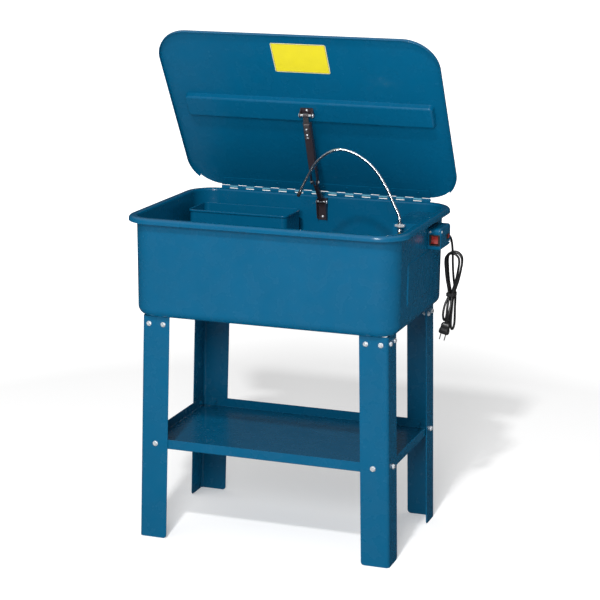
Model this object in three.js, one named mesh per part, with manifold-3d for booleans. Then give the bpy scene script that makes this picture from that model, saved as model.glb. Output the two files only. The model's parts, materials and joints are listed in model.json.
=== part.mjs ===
// Parts washer tank on a four-legged stand, with its lid propped open by an elbow stay.
// Millimetres. +X is the object's right, +Y its back and +Z up. The floor is z = 0. Everything is
// drawn around the middle of the tank, and the last lines move the origin to the middle of the base.

import * as THREE from "three";
import { mergeVertices } from "three/addons/utils/BufferGeometryUtils.js";
import Module from "manifold-3d";

const wasm = await Module();
wasm.setup();

// ---------------------------------------------------------------- driving dimensions

const GAP = 0.3; // left between touching pieces
const SHEET = 2; // steel sheet of the tank and its fittings

const TANK = {
  width: 684, // over the side walls, at the rim
  depth: 460, // over the front and back walls, at the rim
  corner: 58,
  bottom: 583,
  top: 836,
  taper: 1.6, // how far each wall leans in by the time it reaches the floor
  floorEdge: 24,
  rimReach: 20, // how far the rolled rim stands out from the wall
  rimDrop: 14,
};

const LEG = {
  halfWidth: 320, // to the outer corner, at the height of splayFrom
  halfDepth: 206,
  splayFrom: 560,
  splay: 0.0245, // outward lean in X, in mm per mm of height
  frontFlange: 72.5,
  sideFlange: 71,
  sheet: 2.5,
  bend: 9,
};

const SHELF = { halfWidth: 323.8, halfDepth: 202.8, bottom: 238.5, lip: 25, boltHeight: 251.5 };
const BRACKET = { height: 42, flange: 66 };
const BOLT = { across: 10, head: 4, radius: 3, hole: 3.6, fromCornerX: 39.5, fromCornerY: 36 };

const OPEN_ANGLE = THREE.MathUtils.degToRad(58); // of the lid, from closed
const HINGE = {
  y: 254.5,
  z: 838.5,
  length: 580,
  knuckles: 25,
  radius: 3.5,
  bore: 1.95,
  pin: 1.5,
  leaf: 1.5,
  tankLeafDrop: 26,
  lidLeafReach: 30,
};

// In the lid's own frame the hinge axis is the X axis, and the closed lid lies flat towards -Y.
const LID = {
  width: 739,
  back: -3,
  front: -513,
  corner: 88,
  sheet: 1.5,
  underside: 4.5,
  lip: 8.5, // below the underside
  lipFreeBack: -33, // the lip stops here, to clear the rim behind
};
const STIFFENER = { left: -328, right: 337, back: -246, front: -313, depth: 15 };
const LABEL = { x: 10, width: 145, near: -395, far: -484, thickness: 0.8 };

// The stay works in a plane of constant x. Its joints are given as y, z.
const STAY = {
  x: 6,
  lidPin: [-281.3, -24], // in the lid's frame
  tankPin: [215, 822],
  upper: 196,
  lower: 83,
  upperWidth: 20,
  upperDepth: 14,
  lowerWidth: 11,
  lowerDepth: 10,
  lowerSheet: 1.5,
};
const LID_BRACKET = { halfWidth: 17, halfLength: 14, earRadius: 7, pin: 3, pinHead: 5, bore: 3.5 };
const TANK_BRACKET = {
  halfWidth: 13,
  bottom: 772,
  top: 828,
  fromWall: 0.8,
  earRadius: 8,
  pin: 2.5,
  pinHead: 4.4,
  bore: 3,
};

const SPOUT = { x: 283, y: 0, pivot: 802.5, ball: 6, radius: 4, nozzle: 4.7 };
const COVER = { left: 258, right: 337.9, front: 25, back: 195, bottom: 612, top: 818 };
const SPOUT_LEDGE = { left: 263, right: 303, front: -16, top: 789 };

const SWITCH_BOX = { left: 342.4, right: 376.4, front: 44, back: 139, bottom: 751, top: 806 };
const ROCKER = { x: 361.2, z: 777, width: 17, height: 21, tilt: THREE.MathUtils.degToRad(11) };
const BEZEL = { halfWidth: 13.6, halfHeight: 14, thickness: 2.4, depth: 14, side: 1.5, end: 1 };

const PUMP = { left: 240, right: 312, front: -80, back: 20, bottom: 595, top: 672, strainerDrop: 8 };
const WORK_SHELF = { left: -300, right: 232, halfDepth: 196, top: 690, footHeight: 30, archHeight: 60 };
const SHELF_SLOT = { length: 68, width: 8, first: 60, columnPitch: 108, rowPitch: 90 };
const BASKET = { left: -316, right: -44, front: 80, back: 196, top: 803 };
const BASKET_SLOT = { width: 8, length: 64, pitch: 45 };

const CORD = { diameter: 6, exit: [364, 139, 766], hankY: 184 };
const TIE = { left: 358, right: 387, low: 608, high: 617, halfDepth: 15.5, thickness: 2 };
const PLUG = { x: 368.5, y: 151, z: 543.5, lean: THREE.MathUtils.degToRad(14), bladeSpacing: 12.7 };

// ---------------------------------------------------------------- materials

function paint(colour, roughness, metalness = 0) {
  return new THREE.MeshStandardMaterial({ color: colour, roughness, metalness });
}

const blue = paint(0x006a9a, 0.32);
const darkSteel = paint(0x2a2328, 0.45, 0.6);
const zinc = paint(0xc4ced6, 0.3, 1);
const chrome = paint(0xa9bcd0, 0.12, 1);
const brass = paint(0xb59a5b, 0.3, 1);
const black = paint(0x1a1a1a, 0.55);
const red = paint(0xa02a22, 0.35);
const yellow = paint(0xf0e41e, 0.5);

// ---------------------------------------------------------------- solids

function solid(geometry) {
  const bare = geometry.clone();
  bare.deleteAttribute("normal");
  bare.deleteAttribute("uv");
  const merged = mergeVertices(bare, 1e-4);
  const vertProperties = new Float32Array(merged.attributes.position.array);
  const triVerts = new Uint32Array(merged.index.array);
  return new wasm.Manifold(new wasm.Mesh({ numProp: 3, vertProperties, triVerts }));
}

function toGeometry(manifold) {
  const mesh = manifold.getMesh();
  const geometry = new THREE.BufferGeometry();
  geometry.setAttribute("position", new THREE.BufferAttribute(new Float32Array(mesh.vertProperties), 3));
  geometry.setIndex(new THREE.BufferAttribute(new Uint32Array(mesh.triVerts), 1));
  geometry.computeVertexNormals();
  return geometry;
}

function join(...geometries) {
  return toGeometry(geometries.map(solid).reduce((all, one) => all.add(one)));
}

function cut(geometry, ...tools) {
  return toGeometry(tools.map(solid).reduce((all, tool) => all.subtract(tool), solid(geometry)));
}

// A box given by its lowest and highest corners.
function block(x0, y0, z0, x1, y1, z1) {
  const geometry = new THREE.BoxGeometry(x1 - x0, y1 - y0, z1 - z0);
  return geometry.translate((x0 + x1) / 2, (y0 + y1) / 2, (z0 + z1) / 2);
}

// A round bar whose axis runs along "x", "y" or "z".
function bar(axis, radius, length, x, y, z, sides = 14) {
  const geometry = new THREE.CylinderGeometry(radius, radius, length, sides);
  if (axis === "x") geometry.rotateZ(-Math.PI / 2);
  if (axis === "z") geometry.rotateX(Math.PI / 2);
  return geometry.translate(x, y, z);
}

// A solid of revolution about Z from a profile of [radius, height] pairs that starts and ends on the axis.
function turned(profile, sides = 16) {
  const points = profile.map(([radius, height]) => new THREE.Vector2(radius, height));
  return new THREE.LatheGeometry(points, sides).rotateX(Math.PI / 2);
}

// A flat outline in X and Y, given thickness along +Z.
function slab(points, thickness, z = 0) {
  const shape = new THREE.Shape(points.map(([x, y]) => new THREE.Vector2(x, y)));
  const geometry = new THREE.ExtrudeGeometry(shape, { depth: thickness, bevelEnabled: false });
  return geometry.translate(0, 0, z);
}

// Stands a flat-lying piece up: its X runs along +Y, its Y along +Z, and its thickness along +X.
function standUp(geometry, x, y = 0, z = 0) {
  return geometry.applyMatrix4(new THREE.Matrix4().set(0, 0, 1, x, 1, 0, 0, y, 0, 1, 0, z, 0, 0, 0, 1));
}

// A flat outline in Y and Z, given thickness along +X from the plane x.
function sideSlab(points, thickness, x) {
  return standUp(slab(points, thickness), x);
}

// A round tube along a smooth curve through the points.
function rod(points, radius, steps, sides = 10) {
  const section = new THREE.Shape(arc(0, 0, radius, 0, Math.PI * 2, sides).slice(0, -1));
  const path = new THREE.CatmullRomCurve3(points.map(([x, y, z]) => new THREE.Vector3(x, y, z)));
  return new THREE.ExtrudeGeometry(section, { extrudePath: path, steps, bevelEnabled: false });
}

// Points on an arc, both ends included.
function arc(x, y, radius, start, end, steps) {
  const points = [];
  for (let i = 0; i <= steps; i++) {
    const angle = start + ((end - start) * i) / steps;
    points.push(new THREE.Vector2(x + radius * Math.cos(angle), y + radius * Math.sin(angle)));
  }
  return points;
}

// The outline of a rectangle with round corners, counter-clockwise.
function roundedLoop(width, depth, radius, steps) {
  const loop = [];
  for (let corner = 0; corner < 4; corner++) {
    const start = (corner * Math.PI) / 2;
    const x = (width / 2 - radius) * (corner === 0 || corner === 3 ? 1 : -1);
    const y = (depth / 2 - radius) * (corner < 2 ? 1 : -1);
    loop.push(...arc(x, y, radius, start, start + Math.PI / 2, steps));
  }
  return loop;
}

// A pressed pan. The profile is a list of [inset from the outer wall, height]. It starts on the underside
// of the floor, climbs the outside, turns over at the top, and comes down the inside to the floor.
function pan(width, depth, corner, profile, steps) {
  const positions = [];
  const indices = [];
  const size = 4 * (steps + 1);
  for (const [inset, height] of profile) {
    const radius = Math.max(corner - inset, 0.5);
    for (const point of roundedLoop(width - 2 * inset, depth - 2 * inset, radius, steps)) {
      positions.push(point.x, point.y, height);
    }
  }
  for (let ring = 0; ring + 1 < profile.length; ring++) {
    for (let i = 0; i < size; i++) {
      const a = ring * size + i;
      const b = ring * size + ((i + 1) % size);
      indices.push(a, b, b + size, a, b + size, a + size);
    }
  }
  const last = (profile.length - 1) * size;
  const under = positions.push(0, 0, profile[0][1]) / 3 - 1;
  const over = positions.push(0, 0, profile[profile.length - 1][1]) / 3 - 1;
  for (let i = 0; i < size; i++) {
    const next = (i + 1) % size;
    indices.push(under, next, i, over, last + i, last + next);
  }
  const geometry = new THREE.BufferGeometry();
  geometry.setAttribute("position", new THREE.Float32BufferAttribute(positions, 3));
  geometry.setIndex(indices);
  return geometry;
}

// The inset and height of points along the rounded edge between a floor and a wall.
function floorEdge(radius, inset, floor, steps) {
  return arc(inset + radius, floor + radius, radius, -Math.PI / 2, -Math.PI, steps).map((p) => [p.x, p.y]);
}

// ---------------------------------------------------------------- the tree

const object = new THREE.Group();
const cordMeshes = [];

function add(parent, name, geometry, material) {
  const mesh = new THREE.Mesh(geometry, material);
  mesh.name = name;
  parent.add(mesh);
  return mesh;
}

function addCordPiece(name, geometry, material) {
  cordMeshes.push(add(object, name, geometry, material));
}

// ---------------------------------------------------------------- tank

const DRAIN = { x: -170, y: -90, radius: 13 };
const PANEL = { width: 230, height: 110, y: -10, z: 695 };

function tankBody() {
  const { width, depth, corner, bottom, top, taper, floorEdge: edge, rimReach, rimDrop } = TANK;
  const outside = floorEdge(edge, taper, bottom, 4);
  const rim = [
    [0, top - 6],
    [-2.5, top - 3],
    [-8, top - SHEET],
    [-14, top - 3.5],
    [2 - rimReach, top - 7],
    [2 - rimReach, top - rimDrop],
    [-rimReach, top - rimDrop],
    [-rimReach - 0.3, top - 7.5],
    [-16, top - 1.8],
    [-9, top],
    [-2, top - 0.6],
    [SHEET - 0.4, top - 3],
    [SHEET, top - 7],
  ];
  const inside = floorEdge(edge - SHEET, taper + SHEET, bottom + SHEET, 4).reverse();
  const shell = pan(width, depth, corner, [...outside, ...rim, ...inside], 7);
  const raised = embossing(width / 2 - SHEET);
  const hollow = embossing(width / 2 - 2 * SHEET);
  const drain = bar("z", DRAIN.radius, 12, DRAIN.x, DRAIN.y, bottom, 16);
  return cut(join(shell, raised), hollow, drain);
}

// The panel pressed outward in the right wall, with a sloping edge, starting at the plane x.
function embossing(x) {
  const pad = pan(PANEL.width, PANEL.height, 14, [[0, 0], [3.5, 3.4]], 4);
  return standUp(pad, x, PANEL.y, PANEL.z);
}

add(object, "tank_body", tankBody(), blue);

function drainBung() {
  const ring = new THREE.Shape(arc(0, 0, 19, 0, Math.PI * 2, 6).slice(0, -1));
  ring.holes.push(new THREE.Path(arc(0, 0, 9.6, 0, Math.PI * 2, 16).slice(0, -1)));
  const geometry = new THREE.ExtrudeGeometry(ring, { depth: 12, bevelEnabled: false });
  return geometry.translate(DRAIN.x, DRAIN.y, TANK.bottom - 12 - GAP);
}

function drainPlug() {
  const plugTop = TANK.bottom + 1;
  const head = new THREE.CylinderGeometry(14, 14, 7, 6).rotateX(Math.PI / 2);
  head.translate(0, 0, TANK.bottom - 12 - 2 * GAP - 3.5);
  const shank = turned([[0, TANK.bottom - 14], [9.2, TANK.bottom - 14], [9.2, plugTop], [0, plugTop]]);
  return join(head, shank).translate(DRAIN.x, DRAIN.y, 0);
}

add(object, "drain_bung", drainBung(), zinc);
add(object, "drain_plug", drainPlug(), brass);

// ---------------------------------------------------------------- stand

const CORNERS = [
  { name: "front_left", x: -1, y: -1 },
  { name: "front_right", x: 1, y: -1 },
  { name: "rear_left", x: -1, y: 1 },
  { name: "rear_right", x: 1, y: 1 },
];

// An angle section in plan. Its corner points to +X +Y, and its flanges run back towards the axes.
function angleOutline(x, y, alongX, alongY, sheet, bend) {
  const outer = arc(x - bend, y - bend, bend, 0, Math.PI / 2, 3);
  const inner = arc(x - bend, y - bend, bend - sheet, Math.PI / 2, 0, 3);
  const ends = [
    [x - alongX, y],
    [x - alongX, y - sheet],
  ];
  const sideEnds = [
    [x - sheet, y - alongY],
    [x, y - alongY],
  ];
  return [...outer.map((p) => [p.x, p.y]), ...ends, ...inner.map((p) => [p.x, p.y]), ...sideEnds];
}

function mirrored(points, signX, signY) {
  return points.map(([x, y]) => [x * signX, y * signY]);
}

// Leans an upright piece outward as it goes down, keeping it flat on the floor.
function splayed(geometry, signX) {
  const lean = signX * LEG.splay;
  const shear = new THREE.Matrix4().makeShear(0, 0, 0, 0, -lean, 0);
  return geometry.applyMatrix4(shear).translate(lean * LEG.splayFrom, 0, 0);
}

function legCornerX(height) {
  return LEG.halfWidth + LEG.splay * (LEG.splayFrom - height);
}

const SHELF_BOLT_X = legCornerX(SHELF.boltHeight) - BOLT.fromCornerX;
const SHELF_BOLT_Y = LEG.halfDepth - BOLT.fromCornerY;

function boltHoles(cornerSign) {
  const { x, y } = cornerSign;
  const z = SHELF.boltHeight;
  return [
    bar("y", BOLT.hole, 12, x * SHELF_BOLT_X, y * LEG.halfDepth, z, 10),
    bar("x", BOLT.hole, 16, x * legCornerX(z), y * SHELF_BOLT_Y, z, 10),
  ];
}

function legAt(corner) {
  const { halfWidth, halfDepth, frontFlange, sideFlange, sheet, bend } = LEG;
  const outline = angleOutline(halfWidth, halfDepth, frontFlange, sideFlange, sheet, bend);
  const upright = slab(mirrored(outline, corner.x, corner.y), TANK.bottom - GAP);
  return cut(splayed(upright, corner.x), ...boltHoles(corner));
}

// The angle inside the top of a leg, which carries the tank.
function cornerBracket(corner) {
  const { halfWidth, halfDepth, sheet, bend } = LEG;
  const { height, flange } = BRACKET;
  const inset = sheet + GAP;
  const outline = angleOutline(halfWidth - inset, halfDepth - inset, flange, flange, sheet, bend - inset);
  const upright = slab(mirrored(outline, corner.x, corner.y), height, TANK.bottom - GAP - height);
  return splayed(upright, corner.x);
}

for (const corner of CORNERS) {
  add(object, `leg_${corner.name}`, legAt(corner), blue);
  add(object, `corner_bracket_${corner.name}`, cornerBracket(corner), blue);
}

function lowerShelf() {
  const { halfWidth, halfDepth, bottom, lip } = SHELF;
  const profile = [
    [3, bottom],
    [0, bottom + 3],
    [0, bottom + lip],
    [SHEET, bottom + lip],
    [SHEET, bottom + SHEET],
  ];
  const tray = pan(2 * halfWidth, 2 * halfDepth, 6, profile, 2);
  return cut(tray, ...CORNERS.flatMap(boltHoles));
}

add(object, "lower_shelf", lowerShelf(), blue);

// A hexagon bolt whose head faces +Z, with the underside of the head at z = 0.
function hexBolt(across, headHeight, radius, length) {
  const head = new THREE.CylinderGeometry(across / Math.sqrt(3), across / Math.sqrt(3), headHeight, 6);
  head.rotateX(Math.PI / 2).translate(0, 0, headHeight / 2);
  const shank = turned([[0, -length], [radius, -length], [radius, headHeight / 2], [0, headHeight / 2]], 10);
  return join(head, shank);
}

for (const corner of CORNERS) {
  const front = hexBolt(BOLT.across, BOLT.head, BOLT.radius, 12).rotateX((-corner.y * Math.PI) / 2);
  const frontY = corner.y * (LEG.halfDepth + GAP);
  front.translate(corner.x * SHELF_BOLT_X, frontY, SHELF.boltHeight);
  add(object, `shelf_bolt_${corner.name}_a`, front, zinc);

  const side = hexBolt(BOLT.across, BOLT.head, BOLT.radius, 14).rotateY((corner.x * Math.PI) / 2);
  const sideX = corner.x * (legCornerX(SHELF.boltHeight - 6) + 2 * GAP);
  side.translate(sideX, corner.y * SHELF_BOLT_Y, SHELF.boltHeight);
  add(object, `shelf_bolt_${corner.name}_b`, side, zinc);
}

// ---------------------------------------------------------------- lid and piano hinge

const lid = new THREE.Group();
lid.position.set(0, HINGE.y, HINGE.z);
lid.rotation.x = -OPEN_ANGLE;
object.add(lid);

function lidPanel() {
  const { width, back, front, corner, sheet, underside, lip, lipFreeBack } = LID;
  const profile = [
    [2.5, 0],
    [0.7, 0.7],
    [0, 2.5],
    [0, sheet + lip],
    [sheet, sheet + lip],
    [sheet, 3],
    [3, sheet],
  ];
  // Pressed as an upward pan, then turned over so that the lip hangs down.
  const shell = pan(width, back - front, corner, profile, 8).rotateX(Math.PI);
  shell.translate(0, (back + front) / 2, underside + sheet);
  const clearance = block(-width, lipFreeBack, underside - lip - 2, width, 10, underside - 0.02);
  return cut(shell, clearance);
}

function lidStiffener() {
  const { left, right, back, front, depth } = STIFFENER;
  const profile = [
    [5, 0],
    [2.5, 2],
    [0, depth],
    [SHEET, depth],
    [SHEET + 2.5, SHEET + 1],
    [SHEET + 5, SHEET],
  ];
  const channel = pan(right - left, back - front, 8, profile, 3);
  return channel.translate((left + right) / 2, (back + front) / 2, LID.underside - GAP - depth);
}

function labelPlate() {
  const top = LID.underside - GAP;
  const { x, width, near, far, thickness } = LABEL;
  return block(x - width / 2, far, top - thickness, x + width / 2, near, top);
}

add(lid, "lid_panel", lidPanel(), blue);
add(lid, "lid_stiffener", lidStiffener(), blue);
add(lid, "caution_label", labelPlate(), yellow);

// One leaf of the piano hinge, drawn around the hinge axis. It owns every other knuckle.
function hingeLeaf(plate, first) {
  const pitch = HINGE.length / HINGE.knuckles;
  const reach = HINGE.radius + 0.6;
  const own = [];
  const others = [];
  for (let i = 0; i < HINGE.knuckles; i++) {
    const x = -HINGE.length / 2 + pitch * (i + 0.5);
    if (i % 2 === first) {
      own.push(bar("x", HINGE.radius, pitch - GAP, x, 0, 0, 10));
    } else {
      others.push(block(x - (pitch + GAP) / 2, -reach, -reach, x + (pitch + GAP) / 2, reach, reach));
    }
  }
  const bore = bar("x", HINGE.bore, HINGE.length + 10, 0, 0, 0, 8);
  return cut(join(plate, ...own), ...others, bore);
}

const LEAF_FACE = HINGE.radius - 0.1; // from the hinge axis to the outer face of each leaf

function tankLeaf() {
  const half = HINGE.length / 2;
  const plate = block(-half, -LEAF_FACE, -HINGE.tankLeafDrop, half, HINGE.leaf - LEAF_FACE, 0);
  return hingeLeaf(plate, 0).translate(0, HINGE.y, HINGE.z);
}

function lidLeaf() {
  const half = HINGE.length / 2;
  const face = LEAF_FACE - GAP;
  return hingeLeaf(block(-half, -HINGE.lidLeafReach, face - HINGE.leaf, half, 0, face), 1);
}

add(object, "hinge_leaf_tank", tankLeaf(), blue);
add(lid, "hinge_leaf_lid", lidLeaf(), blue);
const hingePin = bar("x", HINGE.pin, HINGE.length + 4, 0, HINGE.y, HINGE.z, 10);
add(object, "hinge_pin", hingePin, zinc);

// ---------------------------------------------------------------- lid stay

// Where the two arms meet, by the lengths of the arms: the elbow bends towards the front.
const lidPinY = HINGE.y + STAY.lidPin[0] * Math.cos(OPEN_ANGLE) + STAY.lidPin[1] * Math.sin(OPEN_ANGLE);
const lidPinZ = HINGE.z - STAY.lidPin[0] * Math.sin(OPEN_ANGLE) + STAY.lidPin[1] * Math.cos(OPEN_ANGLE);
const [tankPinY, tankPinZ] = STAY.tankPin;

function elbowPoint() {
  const dy = tankPinY - lidPinY;
  const dz = tankPinZ - lidPinZ;
  const span = Math.hypot(dy, dz);
  const along = (STAY.upper ** 2 - STAY.lower ** 2 + span ** 2) / (2 * span);
  const aside = Math.sqrt(STAY.upper ** 2 - along ** 2);
  return [lidPinY + (dy * along + dz * aside) / span, lidPinZ + (dz * along - dy * aside) / span];
}

const [elbowY, elbowZ] = elbowPoint();

// A group at one pin, turned so that its own -Z runs to the next pin.
function armGroup(fromY, fromZ, toY, toZ) {
  const group = new THREE.Group();
  group.position.set(STAY.x, fromY, fromZ);
  group.rotation.x = Math.atan2(toY - fromY, fromZ - toZ);
  object.add(group);
  return group;
}

const upperGroup = armGroup(lidPinY, lidPinZ, elbowY, elbowZ);
const lowerGroup = armGroup(elbowY, elbowZ, tankPinY, tankPinZ);

// A flange in Y and Z with a round end at z = end.
function armFlange(front, back, start, end, radius, thickness, x) {
  const round = arc(0, end, radius, 0, -Math.PI, 6).map((p) => [p.x, p.y]);
  return sideSlab([[back, start], ...round, [front, start]], thickness, x);
}

function upperArm() {
  const half = STAY.upperWidth / 2;
  const deep = STAY.upperDepth / 2;
  const end = -STAY.upper;
  const web = block(-half, -deep, end + 42, half, SHEET - deep, -28);
  const flanges = [-half, half - SHEET].map((x) => armFlange(-deep, deep, -20, end, deep, SHEET, x));
  return cut(join(web, ...flanges), bar("x", 2.9, STAY.upperWidth + 4, 0, 0, end, 10));
}

function lowerArm() {
  const half = STAY.lowerWidth / 2;
  const deep = STAY.lowerDepth / 2;
  const end = -STAY.lower;
  const sheet = STAY.lowerSheet;
  const web = block(-half, -deep, end + 8, half, sheet - deep, -8);
  const flanges = [-half, half - sheet].map((x) => {
    const low = arc(0, end, deep, 0, -Math.PI, 5);
    const high = arc(0, 0, deep, Math.PI, 0, 5);
    return sideSlab([...low, ...high].map((p) => [p.x, p.y]), sheet, x);
  });
  const holes = [0, end].map((z) => bar("x", 3, STAY.lowerWidth + 4, 0, 0, z, 12));
  return cut(join(web, ...flanges), ...holes);
}

// A soldered strap that lets go in a fire: an eye round the lid pin, and two lapped plates on the arm.
function fusibleLink() {
  const eye = bar("x", 6, 15, 0, 0, 0, 14);
  const strap = block(-7, -6, -24, 7, -4, -3);
  const step = block(-7, -9.5, -26, 7, -4, -22);
  const lap = block(-7, -9.3, -64, 7, -7 - GAP, -22);
  const cover = block(-5.5, -11, -56, 5.5, -9.2, -30);
  return cut(join(eye, strap, step, lap, cover), bar("x", 3.5, 20, 0, 0, 0, 12));
}

// A rivet with its head towards +X, headed from x = start to start + 2.2, with a shank back to x = end.
function rivetX(start, end, y, z) {
  const head = bar("x", 4.4, 2.2, start + 1.1, y, z, 12);
  const shank = bar("x", 2.4, start - end + 1, (start + 1 + end) / 2, y, z, 10);
  return join(head, shank);
}

function elbowRivet(side) {
  const rivet = rivetX(STAY.upperWidth / 2 + GAP, STAY.lowerWidth / 2 + 0.8, 0, -STAY.upper);
  return side > 0 ? rivet : rivet.rotateZ(Math.PI);
}

function lidBracket() {
  const { halfWidth, halfLength, earRadius, bore } = LID_BRACKET;
  const base = LID.underside - GAP - STIFFENER.depth - GAP;
  const [pinY, pinZ] = STAY.lidPin;
  const plate = block(-halfWidth, pinY - halfLength, base - SHEET, halfWidth, pinY + halfLength, base);
  const outline = [
    [pinY - halfLength + 2, base],
    ...arc(pinY, pinZ, earRadius, -Math.PI, 0, 6).map((p) => [p.x, p.y]),
    [pinY + halfLength - 2, base],
  ];
  const ears = [-halfWidth, halfWidth - SHEET].map((x) => sideSlab(outline, SHEET, x));
  return cut(join(plate, ...ears), bar("x", bore, 50, 0, pinY, pinZ, 12)).translate(STAY.x, 0, 0);
}

function pinWithHeads(radius, headRadius, halfLength, y, z) {
  const shank = bar("x", radius, 2 * halfLength, STAY.x, y, z, 12);
  const heads = [-1, 1].map((side) => bar("x", headRadius, 2, STAY.x + side * halfLength, y, z, 12));
  return join(shank, ...heads);
}

function tankBracket() {
  const { halfWidth, bottom, top, fromWall, earRadius, bore } = TANK_BRACKET;
  const wall = TANK.depth / 2 - SHEET - fromWall;
  const plate = block(-halfWidth, wall - SHEET, bottom, halfWidth, wall, top);
  const outline = [
    [wall, bottom],
    [wall, top],
    ...arc(tankPinY, tankPinZ, earRadius, Math.PI / 2, Math.PI * 1.15, 5).map((p) => [p.x, p.y]),
    [wall - 12, bottom + 4],
  ];
  const ears = [-halfWidth, halfWidth - SHEET].map((x) => sideSlab(outline, SHEET, x));
  return cut(join(plate, ...ears), bar("x", bore, 50, 0, tankPinY, tankPinZ, 12)).translate(STAY.x, 0, 0);
}

add(lid, "stay_lid_bracket", lidBracket(), darkSteel);
const lidPin = pinWithHeads(
  LID_BRACKET.pin, LID_BRACKET.pinHead, LID_BRACKET.halfWidth + 1.6, ...STAY.lidPin);
add(lid, "stay_lid_pin", lidPin, zinc);
add(upperGroup, "stay_upper_arm", upperArm(), darkSteel);
add(upperGroup, "fusible_link", fusibleLink(), zinc);
add(upperGroup, "stay_elbow_rivet_right", elbowRivet(1), zinc);
add(upperGroup, "stay_elbow_rivet_left", elbowRivet(-1), zinc);
add(lowerGroup, "stay_lower_arm", lowerArm(), darkSteel);
add(object, "stay_tank_bracket", tankBracket(), darkSteel);
const tankPin = pinWithHeads(
  TANK_BRACKET.pin, TANK_BRACKET.pinHead, TANK_BRACKET.halfWidth + 1.5, tankPinY, tankPinZ);
add(object, "stay_tank_pin", tankPin, zinc);

// ---------------------------------------------------------------- spout and pump

// The gooseneck in its own plane: distance to the left of the base, and height above the pivot.
const GOOSENECK = [
  [0, 22],
  [0, 26],
  [2, 36],
  [8, 50],
  [17, 67],
  [34, 102],
  [58, 139],
  [81, 163],
  [105, 179],
  [128, 189],
  [151, 193.5],
  [174, 190],
  [198, 177],
  [221, 155],
  [244, 116],
  [260, 83],
];

const spout = new THREE.Group();
spout.position.set(SPOUT.x, SPOUT.y, SPOUT.pivot);
object.add(spout);

function spoutFerrule() {
  const ball = new THREE.SphereGeometry(SPOUT.ball, 12, 8);
  const sleeve = turned([[0, 0], [4.6, 0], [6.2, 7], [6.2, 17], [5, 21.7], [0, 21.7]], 14);
  return join(ball, sleeve);
}

function spoutHose() {
  const points = GOOSENECK.map(([aside, height]) => [-aside, 0, height]);
  return rod(points, SPOUT.radius, 32, 8);
}

function spoutNozzle() {
  const [endAside, endHeight] = GOOSENECK[GOOSENECK.length - 1];
  const [beforeAside, beforeHeight] = GOOSENECK[GOOSENECK.length - 2];
  const slope = Math.atan2(endAside - beforeAside, beforeHeight - endHeight);
  const radius = SPOUT.nozzle;
  const tip = turned([[0, -15], [radius - 1.4, -15], [radius, -10], [radius, -GAP], [0, -GAP]], 12);
  return tip.rotateY(slope).translate(-endAside, 0, endHeight);
}

function spoutClamp() {
  const ring = new THREE.Shape(arc(0, 0, 8, 0, Math.PI * 2, 16).slice(0, -1));
  ring.holes.push(new THREE.Path(arc(0, 0, 6.6, 0, Math.PI * 2, 16).slice(0, -1)));
  const band = new THREE.ExtrudeGeometry(ring, { depth: 7, bevelEnabled: false }).translate(0, 0, 10.8);
  const housing = block(7, -5, 11.2, 15, 5, 17.4);
  const tail = block(-12, -2, 11.6, -7, 2, 17);
  return join(band, housing, tail);
}

add(spout, "spout_ferrule", spoutFerrule(), chrome);
add(spout, "spout_hose", spoutHose(), chrome);
add(spout, "spout_nozzle", spoutNozzle(), black);
add(spout, "spout_clamp", spoutClamp(), zinc);

function spoutBracket() {
  const { left, right, front, top } = SPOUT_LEDGE;
  const ledge = block(left, front, top - SHEET, right, COVER.front - GAP, top);
  const flange = block(left, COVER.front - GAP - SHEET, top - 26, right, COVER.front - GAP, top);
  return cut(join(ledge, flange), bar("z", 7.4, 10, SPOUT.x, SPOUT.y, top, 14));
}

function spoutFitting() {
  const top = SPOUT_LEDGE.top;
  const seat = SPOUT.pivot - SPOUT.ball - GAP;
  const body = turned([
    [0, 756],
    [4.6, 756],
    [5.6, 760],
    [4.8, 764],
    [5.6, 768],
    [5, 772],
    [7, 774],
    [7, top + GAP],
    [10, top + GAP],
    [10, seat - 3],
    [6.5, seat],
    [0, seat],
  ], 14);
  return body.translate(SPOUT.x, SPOUT.y, 0);
}

add(object, "spout_bracket", spoutBracket(), blue);
add(object, "spout_fitting", spoutFitting(), brass);

function pumpBody() {
  const midX = (PUMP.left + PUMP.right) / 2;
  const midY = (PUMP.front + PUMP.back) / 2;
  const housing = pan(PUMP.right - PUMP.left, PUMP.back - PUMP.front, 16, [
    [3, PUMP.bottom],
    [0, PUMP.bottom + 3],
    [0, PUMP.top - 5],
    [5, PUMP.top],
  ], 3).translate(midX, midY, 0);
  const outlet = turned([[0, 660], [6, 660], [6, 690], [4.8, 692], [4.8, 702], [0, 702]], 14);
  return join(housing, outlet.translate(SPOUT.x, SPOUT.y, 0));
}

function pumpStrainer() {
  const midX = (PUMP.left + PUMP.right) / 2;
  const midY = (PUMP.front + PUMP.back) / 2;
  const plate = pan(PUMP.right - PUMP.left - 6, PUMP.back - PUMP.front - 6, 14, [
    [0, PUMP.bottom - PUMP.strainerDrop],
    [0, PUMP.bottom - GAP],
  ], 3).translate(midX, midY, 0);
  const slotBottom = PUMP.bottom - PUMP.strainerDrop - 1;
  const slots = [-30, -18, -6, 6, 18, 30].map((offset) =>
    block(PUMP.left, midY + offset - 3, slotBottom, PUMP.right, midY + offset + 3, slotBottom + 6));
  return cut(plate, ...slots);
}

// A soft hose pushed over the pump's outlet and over the tail of the fitting.
function pumpHose() {
  const { x, y } = SPOUT;
  const route = [
    [x, y, 693.5],
    [x, y, 705],
    [x - 3, y - 3, 722],
    [x + 2, y + 2, 742],
    [x, y, 756],
    [x, y, 770],
  ];
  const outer = rod(route, 9, 10, 10);
  const path = [[x, y, 690], ...route, [x, y, 775]];
  return cut(outer, rod(path, 6.4, 12, 10));
}

add(object, "pump_body", pumpBody(), black);
add(object, "pump_strainer", pumpStrainer(), black);
add(object, "pump_hose", pumpHose(), black);

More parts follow.
